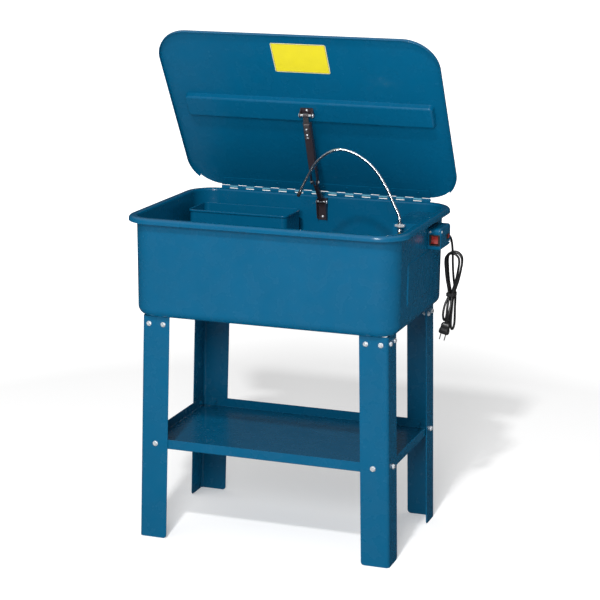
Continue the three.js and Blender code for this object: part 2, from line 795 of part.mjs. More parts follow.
// Open towards the tank's wall and underneath.
function wiringCover() {
  const { left, right, front, back, bottom, top } = COVER;
  const roundCorner = arc(right - 50, back - 50, 50, 0, Math.PI / 2, 4).map((p) => [p.x, p.y]);
  const outer = slab([[left, front], [right, front], ...roundCorner, [left, back]], top - bottom, bottom);
  const inside = block(left + SHEET, front + SHEET, bottom - 5, right + 5, back - SHEET, top - SHEET);
  return cut(outer, inside);
}

add(object, "wiring_cover", wiringCover(), blue);

// ---------------------------------------------------------------- loose pieces inside the tank

function workShelf() {
  const { left, right, halfDepth, top, footHeight, archHeight } = WORK_SHELF;
  const { length, width, first, columnPitch, rowPitch } = SHELF_SLOT;
  const foot = TANK.bottom + SHEET + 1;
  const deck = block(left, -halfDepth, top - SHEET, right, halfDepth, top);
  const ends = [left, right - SHEET].map((x) => block(x, -halfDepth, foot, x + SHEET, halfDepth, top));
  const slots = [];
  for (let column = 0; column < 5; column++) {
    for (const row of [-1.5, -0.5, 0.5, 1.5]) {
      const x = left + first + column * columnPitch;
      const y = row * rowPitch;
      slots.push(block(x - length / 2, y - width / 2, top - 5, x + length / 2, y + width / 2, top + 5));
    }
  }
  // Each end plate stands on two feet, set in from the tank's rounded corners.
  const between = block(left - 10, -130, foot - 5, right + 10, 130, foot + archHeight);
  const beside = [-1, 1].map((side) =>
    block(left - 10, side * 193 - 23, foot - 5, right + 10, side * 193 + 23, foot + footHeight));
  return cut(join(deck, ...ends), ...slots, between, ...beside);
}

add(object, "work_shelf", workShelf(), blue);

function partsBasket() {
  const { left, right, front, back, top } = BASKET;
  const bottom = WORK_SHELF.top + GAP;
  const profile = [
    [6, bottom],
    [2, bottom + 1],
    [1, bottom + 5],
    [1, top - 5],
    [-2, top - 5],
    [-2, top],
    [1, top],
    [1 + SHEET, top - 1.5],
    [1 + SHEET, bottom + 5],
    [6, bottom + SHEET],
  ];
  const midX = (left + right) / 2;
  const midY = (front + back) / 2;
  const tray = pan(right - left, back - front, 14, profile, 4).translate(midX, midY, 0);
  const { width, length, pitch } = BASKET_SLOT;
  const slots = [-2, -1, 0, 1, 2].map((step) => {
    const x = midX + step * pitch;
    const halfLength = length / 2;
    return block(x - width / 2, midY - halfLength, bottom - 5, x + width / 2, midY + halfLength, bottom + 10);
  });
  return cut(tray, ...slots);
}

add(object, "parts_basket", partsBasket(), blue);

// ---------------------------------------------------------------- switch

function switchBox() {
  const { left, right, front, back, bottom, top } = SWITCH_BOX;
  const width = right - left;
  const midY = (front + back) / 2;
  const midZ = (bottom + top) / 2;
  const wall = 1.6;
  // Drawn as a shallow pan with its floor outwards, then laid against the tank's side.
  const shell = pan(back - front, top - bottom, 8, [
    [4, 0],
    [1.2, 1.2],
    [0, 4],
    [0, width],
    [wall, width],
    [wall, 4],
    [4, wall],
  ], 3);
  shell.rotateX(Math.PI);
  standUp(shell, right, midY, midZ);
  const rockerHole = block(
    ROCKER.x - ROCKER.width / 2 - 2.4, front - 3, ROCKER.z - ROCKER.height / 2 - 1.9,
    ROCKER.x + ROCKER.width / 2 + 2.4, front + 6, ROCKER.z + ROCKER.height / 2 + 1.9);
  const [exitX, , exitZ] = CORD.exit;
  const cordHole = bar("y", 5.4, 10, exitX, back, exitZ, 12);
  return cut(shell, rockerHole, cordHole);
}

function switchBezel() {
  const { x, z, width, height } = ROCKER;
  const { halfWidth, halfHeight, thickness, depth, side, end } = BEZEL;
  const front = SWITCH_BOX.front - GAP;
  const holeX = width / 2 + 0.5;
  const holeZ = height / 2 + 0.5;
  const flange = block(
    x - halfWidth, front - thickness, z - halfHeight, x + halfWidth, front, z + halfHeight);
  const sleeve = block(
    x - holeX - side, front - 1, z - holeZ - end, x + holeX + side, front + depth, z + holeZ + end);
  const opening = block(x - holeX, front - 5, z - holeZ, x + holeX, front + depth + 6, z + holeZ);
  return cut(join(flange, sleeve), opening);
}

// The rocker tips about an axis along X, just inside the bezel.
const rocker = new THREE.Group();
const ROCKER_AXIS_Y = SWITCH_BOX.front + 3;
rocker.position.set(ROCKER.x, ROCKER_AXIS_Y, ROCKER.z);
rocker.rotation.x = -ROCKER.tilt;
object.add(rocker);

function switchRocker() {
  const half = ROCKER.height / 2 - 1.2;
  const outline = [
    [-5.6, -half],
    [-3.6, 0],
    [-5.6, half],
    ...arc(0, 0, half, Math.PI * 0.4, -Math.PI * 0.4, 6).map((p) => [p.x, p.y]),
  ];
  return sideSlab(outline, ROCKER.width, -ROCKER.width / 2);
}

add(object, "switch_box", switchBox(), blue);
add(object, "switch_bezel", switchBezel(), black);
add(rocker, "switch_rocker", switchRocker(), red);

// ---------------------------------------------------------------- cord

function cordGland() {
  const [x, y, z] = CORD.exit;
  const profile = [
    [0, -4],
    [4.9, -4],
    [4.9, GAP],
    [8, GAP],
    [8, 4],
    [5.6, 6],
    [3.9, 26],
    [0, 26],
  ];
  return turned(profile, 14).rotateX(-Math.PI / 2).translate(x, y, z);
}

const CORD_LEAD = [
  [364, 165.4, 766],
  [364, 168, 765.9],
  [364.3, 175.2, 764.1],
  [365, 183, 759],
  [366, 188.2, 751.2],
  [367.2, 190, 742],
  [368.4, 189.4, 734.5],
  [369.2, 188.6, 729],
];
const CORD_TAIL = [
  [376, 167.6, 603],
  [376, 166.4, 597],
  [375.9, 162.4, 588],
  [375.3, 156.6, 578],
  [374.4, 152.6, 569.5],
  [372.9, 151, 561.9],
];

// The folded cord's outline from the front, waisted where the tie holds it.
const HANK_FRONT = [
  [355, 539],
  [350, 554],
  [361, 596],
  [362, 634],
  [350.5, 670],
  [352, 698],
  [366, 720],
  [387, 727],
  [403, 714],
  [402, 690],
  [384, 634],
  [380, 596],
  [381, 545],
  [373, 517],
  [364, 524],
];

// Its half thickness by height: the lower loops lie across the upper ones.
const HANK_SIDE = [
  [510, 12],
  [520, 18],
  [536, 22],
  [560, 21],
  [590, 14],
  [612, 12],
  [650, 13],
  [690, 15],
  [735, 15],
];

function cordHank() {
  const corners = [...HANK_FRONT, HANK_FRONT[0]].map(([x, z]) => new THREE.Vector2(x, z));
  const outline = new THREE.SplineCurve(corners).getPoints(44).slice(0, -1);
  const front = slab(outline.map((p) => [p.x, p.y]), 60);
  front.rotateX(Math.PI / 2).translate(0, CORD.hankY + 30, 0);
  const backHalf = HANK_SIDE.map(([z, half]) => [half, z]);
  const frontHalf = HANK_SIDE.map(([z, half]) => [-half, z]).reverse();
  const side = sideSlab([...backHalf, ...frontHalf], 80, 340).translate(0, CORD.hankY, 0);
  return toGeometry(solid(front).intersect(solid(side)));
}

function cordTie() {
  const { left, right, low, high, halfDepth, thickness } = TIE;
  const y = CORD.hankY;
  const inside = halfDepth - thickness;
  const outer = block(left, y - halfDepth, low, right, y + halfDepth, high);
  const inner = block(left + thickness, y - inside, low - 5, right - thickness, y + inside, high + 5);
  return cut(outer, inner);
}

function plug() {
  const shell = pan(27, 17, 5, [
    [3, -31],
    [0, -28],
    [0, -10],
    [3, -4],
    [6, 0],
  ], 3);
  const boot = turned([[0, -4], [5.6, -4], [5.6, 1], [4.2, 18], [0, 18]], 10);
  const blades = [-1, 1].map((side) => {
    const x = (side * PLUG.bladeSpacing) / 2;
    return block(x - 0.8, -3.1, -48, x + 0.8, 3.1, -25);
  });
  return join(shell, boot, ...blades).rotateY(PLUG.lean).translate(PLUG.x, PLUG.y, PLUG.z);
}

add(object, "cord_gland", cordGland(), black);
addCordPiece("power_cord", rod(CORD_LEAD, CORD.diameter / 2, 12, 8), black);
addCordPiece("cord_hank", cordHank(), black);
addCordPiece("cord_tie", cordTie(), black);
addCordPiece("cord_tail", rod(CORD_TAIL, CORD.diameter / 2, 9, 8), black);
addCordPiece("plug", plug(), black);

// ---------------------------------------------------------------- origin

// The origin is the middle of the base of everything but the loose cord.
object.updateMatrixWorld(true);
const bounds = new THREE.Box3();
object.traverse((item) => {
  if (item.isMesh && !cordMeshes.includes(item)) bounds.expandByObject(item, true);
});
const middle = bounds.getCenter(new THREE.Vector3());
object.position.set(-middle.x, -middle.y, -bounds.min.z);

export default object;
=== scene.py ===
import json
import math

import bmesh
import bpy
from mathutils import Matrix, Vector


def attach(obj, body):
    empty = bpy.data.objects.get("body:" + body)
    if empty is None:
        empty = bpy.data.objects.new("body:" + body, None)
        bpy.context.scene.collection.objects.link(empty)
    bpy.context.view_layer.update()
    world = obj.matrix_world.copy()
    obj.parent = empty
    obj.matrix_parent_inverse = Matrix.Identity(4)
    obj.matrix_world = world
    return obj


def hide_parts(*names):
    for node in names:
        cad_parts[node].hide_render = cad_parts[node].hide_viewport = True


# A parts washer tank on its stand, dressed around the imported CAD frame. Shapes are drawn in
# millimetres in the CAD's own frame and turned into metres when each piece is made.
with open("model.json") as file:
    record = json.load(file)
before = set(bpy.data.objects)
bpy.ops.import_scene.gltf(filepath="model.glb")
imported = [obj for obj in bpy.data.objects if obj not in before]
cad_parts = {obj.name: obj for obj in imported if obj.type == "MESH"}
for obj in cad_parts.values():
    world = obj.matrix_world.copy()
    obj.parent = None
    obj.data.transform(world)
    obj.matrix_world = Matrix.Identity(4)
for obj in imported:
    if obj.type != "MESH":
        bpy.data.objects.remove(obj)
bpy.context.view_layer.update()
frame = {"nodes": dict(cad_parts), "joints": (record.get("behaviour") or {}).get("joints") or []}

MM = 0.001
HERE = Matrix.Identity(4)
JOINTS = {joint["name"]: joint for joint in frame["joints"]}


# ---------------------------------------------------------------- places read from the frame


class Box:
    """A CAD node's box in millimetres, in the axes of a place."""

    def __init__(self, node, place=HERE):
        back = place.inverted()
        points = [back @ (v.co / MM) for v in frame["nodes"][node].data.vertices]
        self.left, self.front, self.low = (min(p[i] for p in points) for i in range(3))
        self.right, self.back, self.high = (max(p[i] for p in points) for i in range(3))
        self.x = (self.left + self.right) / 2
        self.y = (self.front + self.back) / 2
        self.z = (self.low + self.high) / 2
        self.width = self.right - self.left
        self.depth = self.back - self.front
        self.height = self.high - self.low


def shift(x=0.0, y=0.0, z=0.0):
    return Matrix.Translation((x, y, z))


def turn(degrees, axis):
    return Matrix.Rotation(math.radians(degrees), 4, axis)


def joint_point(name):
    return Vector(JOINTS[name]["pos_m"]) / MM


TANK = Box("tank_body")
SHEET = 2.0
RIM_REACH = 20.3
WALL_WIDTH = TANK.width - 2 * RIM_REACH
WALL_DEPTH = TANK.depth - 2 * RIM_REACH
OPEN_ANGLE = JOINTS["lid_hinge"]["range_deg"][1]
HINGE_POINT = joint_point("lid_hinge")
LID_PLACE = shift(*HINGE_POINT) @ turn(-OPEN_ANGLE, "X")
LID_PIN = joint_point("stay_lid_pivot")
TANK_PIN = joint_point("stay_tank_pivot")
rivet_box = Box("stay_elbow_rivet_right")
ELBOW = Vector((LID_PIN.x, rivet_box.y, rivet_box.z))
SPOUT_BASE = joint_point("spout_fold")


def arm_place(start, end):
    """Axes at one pin of the stay, with -Z running to the next pin."""
    lean = math.atan2(end.y - start.y, start.z - end.z)
    return shift(LID_PIN.x, start.y, start.z) @ Matrix.Rotation(lean, 4, "X")


# ---------------------------------------------------------------- camera

AIM = Vector((0.0192, 0.0, 0.605))
CAMERA_DISTANCE = 4.778
CAMERA_AZIMUTH = math.radians(19.405)
CAMERA_ELEVATION = math.radians(13.163)
CAMERA_ROLL = math.radians(0.495)
LENS = 113.0
SENSOR = 36.0


def camera():
    across = math.cos(CAMERA_ELEVATION)
    back = Vector((
        math.sin(CAMERA_AZIMUTH) * across,
        -math.cos(CAMERA_AZIMUTH) * across,
        math.sin(CAMERA_ELEVATION),
    ))
    right = Vector((math.cos(CAMERA_AZIMUTH), math.sin(CAMERA_AZIMUTH), 0.0))
    up = back.cross(right)
    level = Matrix((right, up, back)).transposed()
    data = bpy.data.cameras.new("camera")
    data.lens = LENS
    data.sensor_width = SENSOR
    made = bpy.data.objects.new("camera", data)
    made.matrix_world = Matrix.Translation(AIM + back * CAMERA_DISTANCE) @ (
        level.to_4x4() @ Matrix.Rotation(CAMERA_ROLL, 4, "Z"))
    bpy.context.scene.collection.objects.link(made)
    bpy.context.scene.camera = made


camera()


# ---------------------------------------------------------------- materials


class Nodes:
    """A new material with a short way to add and join its nodes."""

    def __init__(self, name):
        self.material = bpy.data.materials.new(name)
        self.material.use_nodes = True
        self.tree = self.material.node_tree
        self.shader = self.tree.nodes["Principled BSDF"]
        self.place = self.add("ShaderNodeTexCoord").outputs["Object"]

    def add(self, kind, **values):
        node = self.tree.nodes.new(kind)
        for key, value in values.items():
            if key in node.inputs:
                node.inputs[key].default_value = value
            else:
                setattr(node, key, value)
        return node

    def link(self, output, socket):
        self.tree.links.new(output, socket)

    def set(self, **values):
        for key, value in values.items():
            self.shader.inputs[key.replace("_", " ")].default_value = value

    def noise(self, scale, detail=3.0, stretch=(1, 1, 1)):
        mapping = self.add("ShaderNodeMapping")
        mapping.inputs["Scale"].default_value = stretch
        self.link(self.place, mapping.inputs["Vector"])
        node = self.add("ShaderNodeTexNoise", Scale=scale, Detail=detail)
        self.link(mapping.outputs["Vector"], node.inputs["Vector"])
        return node.outputs["Fac"]

    def ramp(self, value, low, high, dark, light):
        """Runs from dark to light as value goes from low to high. The ends are colours or numbers."""
        node = self.add("ShaderNodeValToRGB")
        self.link(value, node.inputs["Fac"])
        for stop, place, shade in zip(node.color_ramp.elements, (low, high), (dark, light)):
            stop.position = place
            stop.color = (*shade, 1) if hasattr(shade, "__len__") else (shade, shade, shade, 1)
        return node.outputs["Color"]

    def mix(self, factor, first, second):
        node = self.add("ShaderNodeMix", data_type="RGBA")
        self.link(factor, node.inputs[0])
        for socket, value in ((node.inputs[6], first), (node.inputs[7], second)):
            if hasattr(value, "__len__"):
                socket.default_value = (*value, 1)
            else:
                self.link(value, socket)
        return node.outputs[2]

    def bump(self, height, strength, distance, onto=None):
        node = self.add("ShaderNodeBump", Strength=strength, Distance=distance)
        self.link(height, node.inputs["Height"])
        if onto is not None:
            self.link(onto, node.inputs["Normal"])
        return node.outputs["Normal"]

    def edges(self, low, high, most=1.0):
        """Near most on sharp outer edges and 0 elsewhere."""
        pointed = self.add("ShaderNodeNewGeometry").outputs["Pointiness"]
        return self.ramp(pointed, low, high, 0.0, most)

    def math(self, operation, *values):
        """A Math node. Each value is a number or another node's output."""
        node = self.add("ShaderNodeMath", operation=operation)
        for socket, value in zip(node.inputs, values):
            if isinstance(value, (int, float)):
                socket.default_value = value
            else:
                self.link(value, socket)
        return node.outputs[0]

    def finish(self, colour, roughness, normal):
        self.link(colour, self.shader.inputs["Base Color"])
        self.link(roughness, self.shader.inputs["Roughness"])
        self.link(normal, self.shader.inputs["Normal"])
        return self.material


def tinted(colour, factor):
    return tuple(min(1.0, c * factor) for c in colour)


def powder_coat(name, colour, roughness=0.25, peel=0.05):
    """Gloss powder coat: orange peel, faint clouding, and edges painted paler, partly as thinner paint and
    partly as a painted highlight.
    """
    n = Nodes(name)
    n.set(Coat_Weight=0.15, Coat_Roughness=0.09, Specular_IOR_Level=0.3)
    clouds = n.ramp(n.noise(9.0, 4.0), 0.32, 0.7, tinted(colour, 0.94), tinted(colour, 1.05))
    specks = n.ramp(n.noise(1400.0, 1.0), 0.3, 0.7, 0.0, 1.0)
    speckled = n.mix(specks, clouds, tinted(colour, 1.04))
    # Edges painted paler: partly thinner paint, partly a painted highlight.
    edge_wear_and_highlight = n.mix(n.edges(0.54, 0.66, 0.35), speckled, tinted(colour, 1.5))
    rough = n.ramp(n.noise(26.0, 5.0), 0.3, 0.75, roughness * 0.85, roughness * 1.3)
    coarse = n.bump(n.noise(260.0, 2.0), peel, 0.0008)
    normal = n.bump(n.noise(900.0, 1.0), peel * 0.6, 0.0003, coarse)
    return n.finish(edge_wear_and_highlight, rough, normal)


def plated(name, colour, roughness, metallic=1.0, grain=0.06, dull=0.82):
    """Plated or polished metal with a fine grain, faint tarnish and edges painted brighter, partly as wear
    and partly as a painted highlight. Zinc is partly milky.
    """
    n = Nodes(name)
    n.set(Metallic=metallic)
    clouds = n.ramp(n.noise(60.0, 5.0), 0.3, 0.72, tinted(colour, dull), colour)
    # Edges painted brighter: partly wear, partly a painted highlight.
    edge_wear_and_highlight = n.mix(n.edges(0.52, 0.6), clouds, tinted(colour, 1.12))
    rough = n.ramp(n.noise(300.0, 4.0), 0.3, 0.7, roughness * 0.7, roughness * 1.35)
    normal = n.bump(n.noise(1500.0, 3.0), grain, 0.0002)
    return n.finish(edge_wear_and_highlight, rough, normal)


def moulded(name, colour, roughness, grain=0.12, scale=1800.0, pale=1.5):
    """Moulded plastic or rubber: a fine pebble grain, and edges painted lighter, partly as handling wear and
    partly as a painted highlight.
    """
    n = Nodes(name)
    n.set(Specular_IOR_Level=0.4)
    clouds = n.ramp(n.noise(45.0, 4.0), 0.3, 0.7, tinted(colour, 0.85), tinted(colour, 1.15))
    # Edges painted lighter: partly handling wear, partly a painted highlight.
    edge_wear_and_highlight = n.mix(n.edges(0.53, 0.62), clouds, tinted(colour, pale))
    rough = n.ramp(n.noise(160.0, 3.0), 0.3, 0.7, roughness * 0.85, roughness * 1.15)
    normal = n.bump(n.noise(scale, 2.0), grain, 0.0002)
    return n.finish(edge_wear_and_highlight, rough, normal)


def printed_label(name, place, box):
    """Yellow film with a pale margin and a thin dark line, and no print."""
    n = Nodes(name)
    yellow, margin, line = (0.6, 0.52, 0.012), (0.6, 0.58, 0.3), (0.03, 0.03, 0.02)
    margin_width, line_width = 1.8 * MM, 0.9 * MM
    local = n.add("ShaderNodeMapping", vector_type="TEXTURE")
    local.inputs["Location"].default_value = (place @ Vector((box.x, box.y, box.low))) * MM
    local.inputs["Rotation"].default_value = place.to_euler()
    n.link(n.place, local.inputs["Vector"])
    split = n.add("ShaderNodeSeparateXYZ")
    n.link(local.outputs["Vector"], split.inputs[0])
    from_side = n.math("SUBTRACT", box.width / 2 * MM, n.math("ABSOLUTE", split.outputs[0]))
    from_end = n.math("SUBTRACT", box.depth / 2 * MM, n.math("ABSOLUTE", split.outputs[1]))
    inset = n.math("MINIMUM", from_side, from_end)
    fading = n.ramp(n.noise(30.0, 5.0), 0.3, 0.75, tinted(yellow, 0.94), yellow)
    inner = n.mix(n.math("LESS_THAN", inset, margin_width + line_width), fading, line)
    colour = n.mix(n.math("LESS_THAN", inset, margin_width), inner, margin)
    rough = n.ramp(n.noise(90.0, 4.0), 0.3, 0.7, 0.34, 0.5)
    normal = n.bump(n.noise(420.0, 3.0), 0.08, 0.0002)
    return n.finish(colour, rough, normal)


def matt_floor(name):
    """Matt white studio paper that glows: faintly near the object, a painted light that lifts its shadow,
    and fully out past it, so that its edge is lost in the white.
    """
    n = Nodes(name)
    n.set(Specular_IOR_Level=0.0, Roughness=1.0, Emission_Color=(1, 1, 1, 1))
    length = n.add("ShaderNodeVectorMath", operation="LENGTH")
    n.link(n.place, length.inputs[0])
    far = n.math("SUBTRACT", n.math("DIVIDE", length.outputs["Value"], FLOOR_FADE), 1.0)
    far = n.math("MINIMUM", n.math("MAXIMUM", far, 0.0), 1.0)
    glow = n.math("MULTIPLY_ADD", far, 1.0 - FLOOR_GLOW, FLOOR_GLOW)
    n.link(glow, n.shader.inputs["Emission Strength"])
    paper = n.ramp(n.noise(3.0, 2.0), 0.3, 0.7, (0.795, 0.795, 0.795), (0.8, 0.8, 0.8))
    n.link(paper, n.shader.inputs["Base Color"])
    return n.material


BLUE = (0.0, 0.07, 0.148)
blue = powder_coat("blue_powder_coat", BLUE)
dark_steel = powder_coat("dark_steel", (0.026, 0.019, 0.023), roughness=0.3, peel=0.04)
zinc = plated("bright_zinc", (0.78, 0.81, 0.84), 0.26, metallic=0.6)
# A paler blue metal for the lid leaf's knuckles: a painted highlight for the bright dashes along the hinge.
knuckle_highlight_zinc = plated("knuckles_painted_highlight", (0.07, 0.24, 0.33), 0.4, metallic=0.3)
smoked_zinc = plated("smoked_zinc", (0.17, 0.155, 0.16), 0.3, metallic=0.8)
chrome = plated("chrome", (0.84, 0.9, 0.96), 0.16, grain=0.03, dull=0.9)
brass = plated("brass", (0.56, 0.42, 0.17), 0.28)
copper = plated("bright_blades", (0.62, 0.5, 0.38), 0.25)
black_plastic = moulded("black_plastic", (0.013, 0.013, 0.014), 0.42)
rubber = moulded("cable_jacket", (0.0105, 0.0105, 0.011), 0.38, grain=0.06, pale=1.3)
red_plastic = moulded("red_plastic", (0.2, 0.014, 0.01), 0.3, grain=0.03, pale=1.15)
# How much the floor glows near the object: painted light that sets how deep its shadow is.
FLOOR_GLOW = 0.27
FLOOR_FADE = 1.6
floor_paper = matt_floor("studio_floor")

# A finish is a material slot of the CAD and the look that is shown for it.
PAINT = ("blue_paint", blue)
DARK_STEEL = ("dark_steel", dark_steel)
ZINC = ("zinc", zinc)
KNUCKLE_HIGHLIGHT_ZINC = ("zinc", knuckle_highlight_zinc)
SMOKED_ZINC = ("zinc", smoked_zinc)
BLADE_METAL = ("zinc", copper)
CHROME = ("chrome", chrome)
BRASS = ("brass", brass)
PLASTIC = ("black_plastic", black_plastic)
RUBBER = ("black_rubber", rubber)
FITTINGS = ("black_rubber", black_plastic)
RED_PLASTIC = ("red_plastic", red_plastic)


# ---------------------------------------------------------------- outlines and solids


def arc(x, y, radius, start, end, steps):
    """Points on an arc, angles in degrees, both ends included."""
    points = []
    for i in range(steps + 1):
        angle = math.radians(start + (end - start) * i / steps)
        points.append((x + radius * math.cos(angle), y + radius * math.sin(angle)))
    return points


def rounded(width, depth, radius, steps=8, x=0.0, y=0.0, extra=()):
    """A rectangle with round corners, counter-clockwise. extra adds points along its +X side at those y."""
    points = []
    for corner in range(4):
        dx = (width / 2 - radius) * (1 if corner in (0, 3) else -1)
        dy = (depth / 2 - radius) * (1 if corner < 2 else -1)
        points += arc(x + dx, y + dy, radius, corner * 90, corner * 90 + 90, steps)
    return points + [(x + width / 2, y + d) for d in extra]


def rings_solid(rings, closed=False):
    """Joins successive rings of points with faces. The two ends are capped, or joined if closed."""
    size = len(rings[0])
    points = [p for ring in rings for p in ring]
    faces = []
    for r in range(len(rings) - (0 if closed else 1)):
        a = r * size
        b = ((r + 1) % len(rings)) * size
        for i in range(size):
            j = (i + 1) % size
            faces.append((a + i, a + j, b + j, b + i))
    if not closed:
        faces.append(tuple(range(size))[::-1])
        faces.append(tuple(range(len(points) - size, len(points))))
    return points, faces


def moved(solid, matrix):
    points, faces = solid
    return [tuple(matrix @ Vector(p)) for p in points], faces


def together(*solids):
    """Several separate solids as one."""
    points, faces = [], []
    for more_points, more_faces in solids:
        start = len(points)
        points += more_points
        faces += [tuple(start + i for i in face) for face in more_faces]
    return points, faces


def prism(outline, low, high):
    return rings_solid([[(x, y, z) for x, y in outline] for z in (low, high)])


def side_prism(outline, left, right):
    """An outline in Y and Z, given thickness along X."""
    return rings_solid([[(x, y, z) for y, z in outline] for x in (left, right)])


def block(x0, y0, z0, x1, y1, z1):
    return prism([(x0, y0), (x1, y0), (x1, y1), (x0, y1)], z0, z1)


def pan(width, depth, corner, profile, steps, extra=()):
    """A pressed shape. The profile lists (inset, height) from one end of its section to the other."""
    rings = []
    for inset, height in profile:
        radius = max(corner - inset, 0.4)
        outline = rounded(width - 2 * inset, depth - 2 * inset, radius, steps, extra=extra)
        rings.append([(x, y, height) for x, y in outline])
    return rings_solid(rings)


def lathe(profile, sides=32, hollow=False):
    """A solid of revolution about Z from (radius, height) pairs. A hollow one's profile closes on itself."""
    rings = []
    for radius, height in profile:
        rings.append([(x, y, height) for x, y in arc(0, 0, radius, 0, 360, sides)[:-1]])
    return rings_solid(rings, closed=hollow)


def rod(radius, low, high, sides):
    return lathe([(radius, low), (radius, high)], sides)


def tube(bore, radius, low, high, sides):
    return lathe([(bore, low), (radius, low), (radius, high), (bore, high)], sides, hollow=True)


def smooth_path(points, steps):
    """A Catmull-Rom curve through the points, with that many steps between each two."""
    ends = [points[0] * 2 - points[1], *points, points[-1] * 2 - points[-2]]
    path = []
    for before, start, end, after in zip(ends, ends[1:], ends[2:], ends[3:]):
        for i in range(steps):
            t = i / steps
            path.append(0.5 * (
                2 * start + (end - before) * t
                + (2 * before - 5 * start + 4 * end - after) * t * t
                + (3 * start - before - 3 * end + after) * t ** 3))
    return [*path, points[-1]]


def along(path, radii, sides=16):
    """A round bar along a path, with a radius for each of its points."""
    side = Vector((0, 1, 0))
    rings = []
    for i, point in enumerate(path):
        ahead = (path[min(i + 1, len(path) - 1)] - path[max(i - 1, 0)]).normalized()
        side = (side - ahead * side.dot(ahead)).normalized()
        other = ahead.cross(side)
        rings.append([
            tuple(point + side * x + other * y)
            for x, y in arc(0, 0, radii[i], 0, 360, sides)[:-1]])
    return rings_solid(rings)


def hexagon(across):
    return arc(0, 0, across / math.sqrt(3), 0, 360, 6)[:-1]


# ---------------------------------------------------------------- making a piece


def scratch_object(solid):
    points, faces = solid
    mesh = bpy.data.meshes.new("scratch")
    mesh.from_pydata(points, [], faces)
    bm = bmesh.new()
    bm.from_mesh(mesh)
    bmesh.ops.recalc_face_normals(bm, faces=bm.faces)
    bm.to_mesh(mesh)
    bm.free()
    made = bpy.data.objects.new("scratch", mesh)
    bpy.context.scene.collection.objects.link(made)
    return made


def evaluated_mesh(source):
    depsgraph = bpy.context.evaluated_depsgraph_get()
    return bpy.data.meshes.new_from_object(source.evaluated_get(depsgraph))


def carved(solid, joined=(), cut=(), within=()):
    """The solid with others joined to it, others cut out of it, and only what lies within yet others."""
    base = scratch_object(solid)
    tools = []
    for operation, others in (("UNION", joined), ("DIFFERENCE", cut), ("INTERSECT", within)):
        for other in others:
            tool = scratch_object(other)
            tools.append(tool)
            modifier = base.modifiers.new(operation, "BOOLEAN")
            modifier.operation = operation
            modifier.solver = "EXACT"
            modifier.object = tool
    mesh = evaluated_mesh(base)
    result = [tuple(v.co) for v in mesh.vertices], [tuple(p.vertices) for p in mesh.polygons]
    for scrap in [base, *tools]:
        bpy.data.objects.remove(scrap)
    return result


def piece(name, solid, body, finish, nodes=(), place=HERE, bevel=0.0, segments=2, sharp=40):
    """Makes a finished piece that rides on a body and stands for CAD nodes."""
    slot, look = finish
    made = scratch_object(solid)
    made.name = name
    if bevel:
        modifier = made.modifiers.new("edge", "BEVEL")
        modifier.width = bevel
        modifier.segments = segments
        modifier.limit_method = "ANGLE"
        modifier.angle_limit = math.radians(28)
        modifier.use_clamp_overlap = True
    mesh = evaluated_mesh(made)
    made.modifiers.clear()
    made.data = mesh
    mesh.name = name
    mesh.transform(Matrix.Scale(MM, 4) @ place)
    if place.determinant() < 0:
        mesh.flip_normals()
    mesh.polygons.foreach_set("use_smooth", [True] * len(mesh.polygons))
    mesh.set_sharp_from_angle(angle=math.radians(sharp))
    made.modifiers.new("flat faces stay flat", "WEIGHTED_NORMAL").keep_sharp = True
    mesh.materials.clear()
    mesh.materials.append(look)
    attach(made, body)
    if nodes:
        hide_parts(*nodes)
    return made


# ---------------------------------------------------------------- cord

CORD_RADIUS = 3.0
TANK_MIDDLE = Vector((TANK.x, TANK.y, 0.0)) * MM

# From inside the gland, down into the folded cord, in metres around the middle of the tank.
CORD_START = [
    (0.364, 0.150, 0.766),
    (0.364, 0.1654, 0.766),
    (0.364, 0.168, 0.7659),
    (0.3643, 0.1752, 0.7641),
    (0.365, 0.183, 0.759),
    (0.366, 0.1882, 0.7512),
    (0.3672, 0.190, 0.742),
    (0.3684, 0.1894, 0.7345),
    (0.3692, 0.1886, 0.729),
]
CORD_END = [
    (0.376, 0.1676, 0.603),
    (0.376, 0.1664, 0.597),
    (0.3759, 0.1624, 0.588),
    (0.3753, 0.1566, 0.578),
    (0.3744, 0.1526, 0.5695),
    (0.3729, 0.151, 0.5619),
    (0.3705, 0.151, 0.5519),
]

# The folded cord goes down and up seven times. Above the tie its folds fan out across X, each in
# a plane of its own, and below it they lie across Y.
WAIST_HEIGHT = 0.612
WAIST = [
    (0.3788, 0.192),
    (0.3788, 0.176),
    (0.366, 0.192),
    (0.3645, 0.1835),
    (0.3715, 0.184),
    (0.366, 0.176),
    (0.3765, 0.1695),
]
# Each top fold's plane, its end where the cord comes up, its end where it goes down, and its height.
TOP_FOLDS = [
    (0.195, 0.394, 0.356, 0.721),
    (0.181, 0.3533, 0.3895, 0.718),
    (0.174, 0.357, 0.399, 0.724),
]
# Each bottom fold's place across X, and the height of its lowest point.
BOTTOM_FOLDS = [(0.376, 0.520), (0.355, 0.542), (0.365, 0.528)]
FOLD_BACK = 0.2032
FOLD_FRONT = 0.1648
FOLD_STEPS = 8
STRAND_EASE = 1.6


# Where the cord comes off its lead, down to the tie.
FIRST_STRAND = [(0.3702, 0.188, 0.716), (0.3712, 0.188, 0.69), (0.374, 0.1893, 0.652)]
# How far along a strand its guiding points lie, from the fold to the tie.
BELOW_TIE = 0.45
ABOVE_TIE = (0.25, 0.6)


def waist_point(strand):
    return (*WAIST[strand], WAIST_HEIGHT)


def between(start, end, share):
    """A point on the way along a strand, which leaves a fold straight before it leans over."""
    lean = share ** STRAND_EASE
    x = start[0] + (end[0] - start[0]) * lean
    y = start[1] + (end[1] - start[1]) * lean
    return (x, y, start[2] + (end[2] - start[2]) * share)


def top_fold(plane, come, leave, height):
    middle = (come + leave) / 2
    radius = abs(leave - come) / 2
    start = 0 if come > leave else 180
    end = 180 - start
    turned = arc(middle, height - radius, radius, start, end, FOLD_STEPS)
    return [(x, plane, z) for x, z in turned]


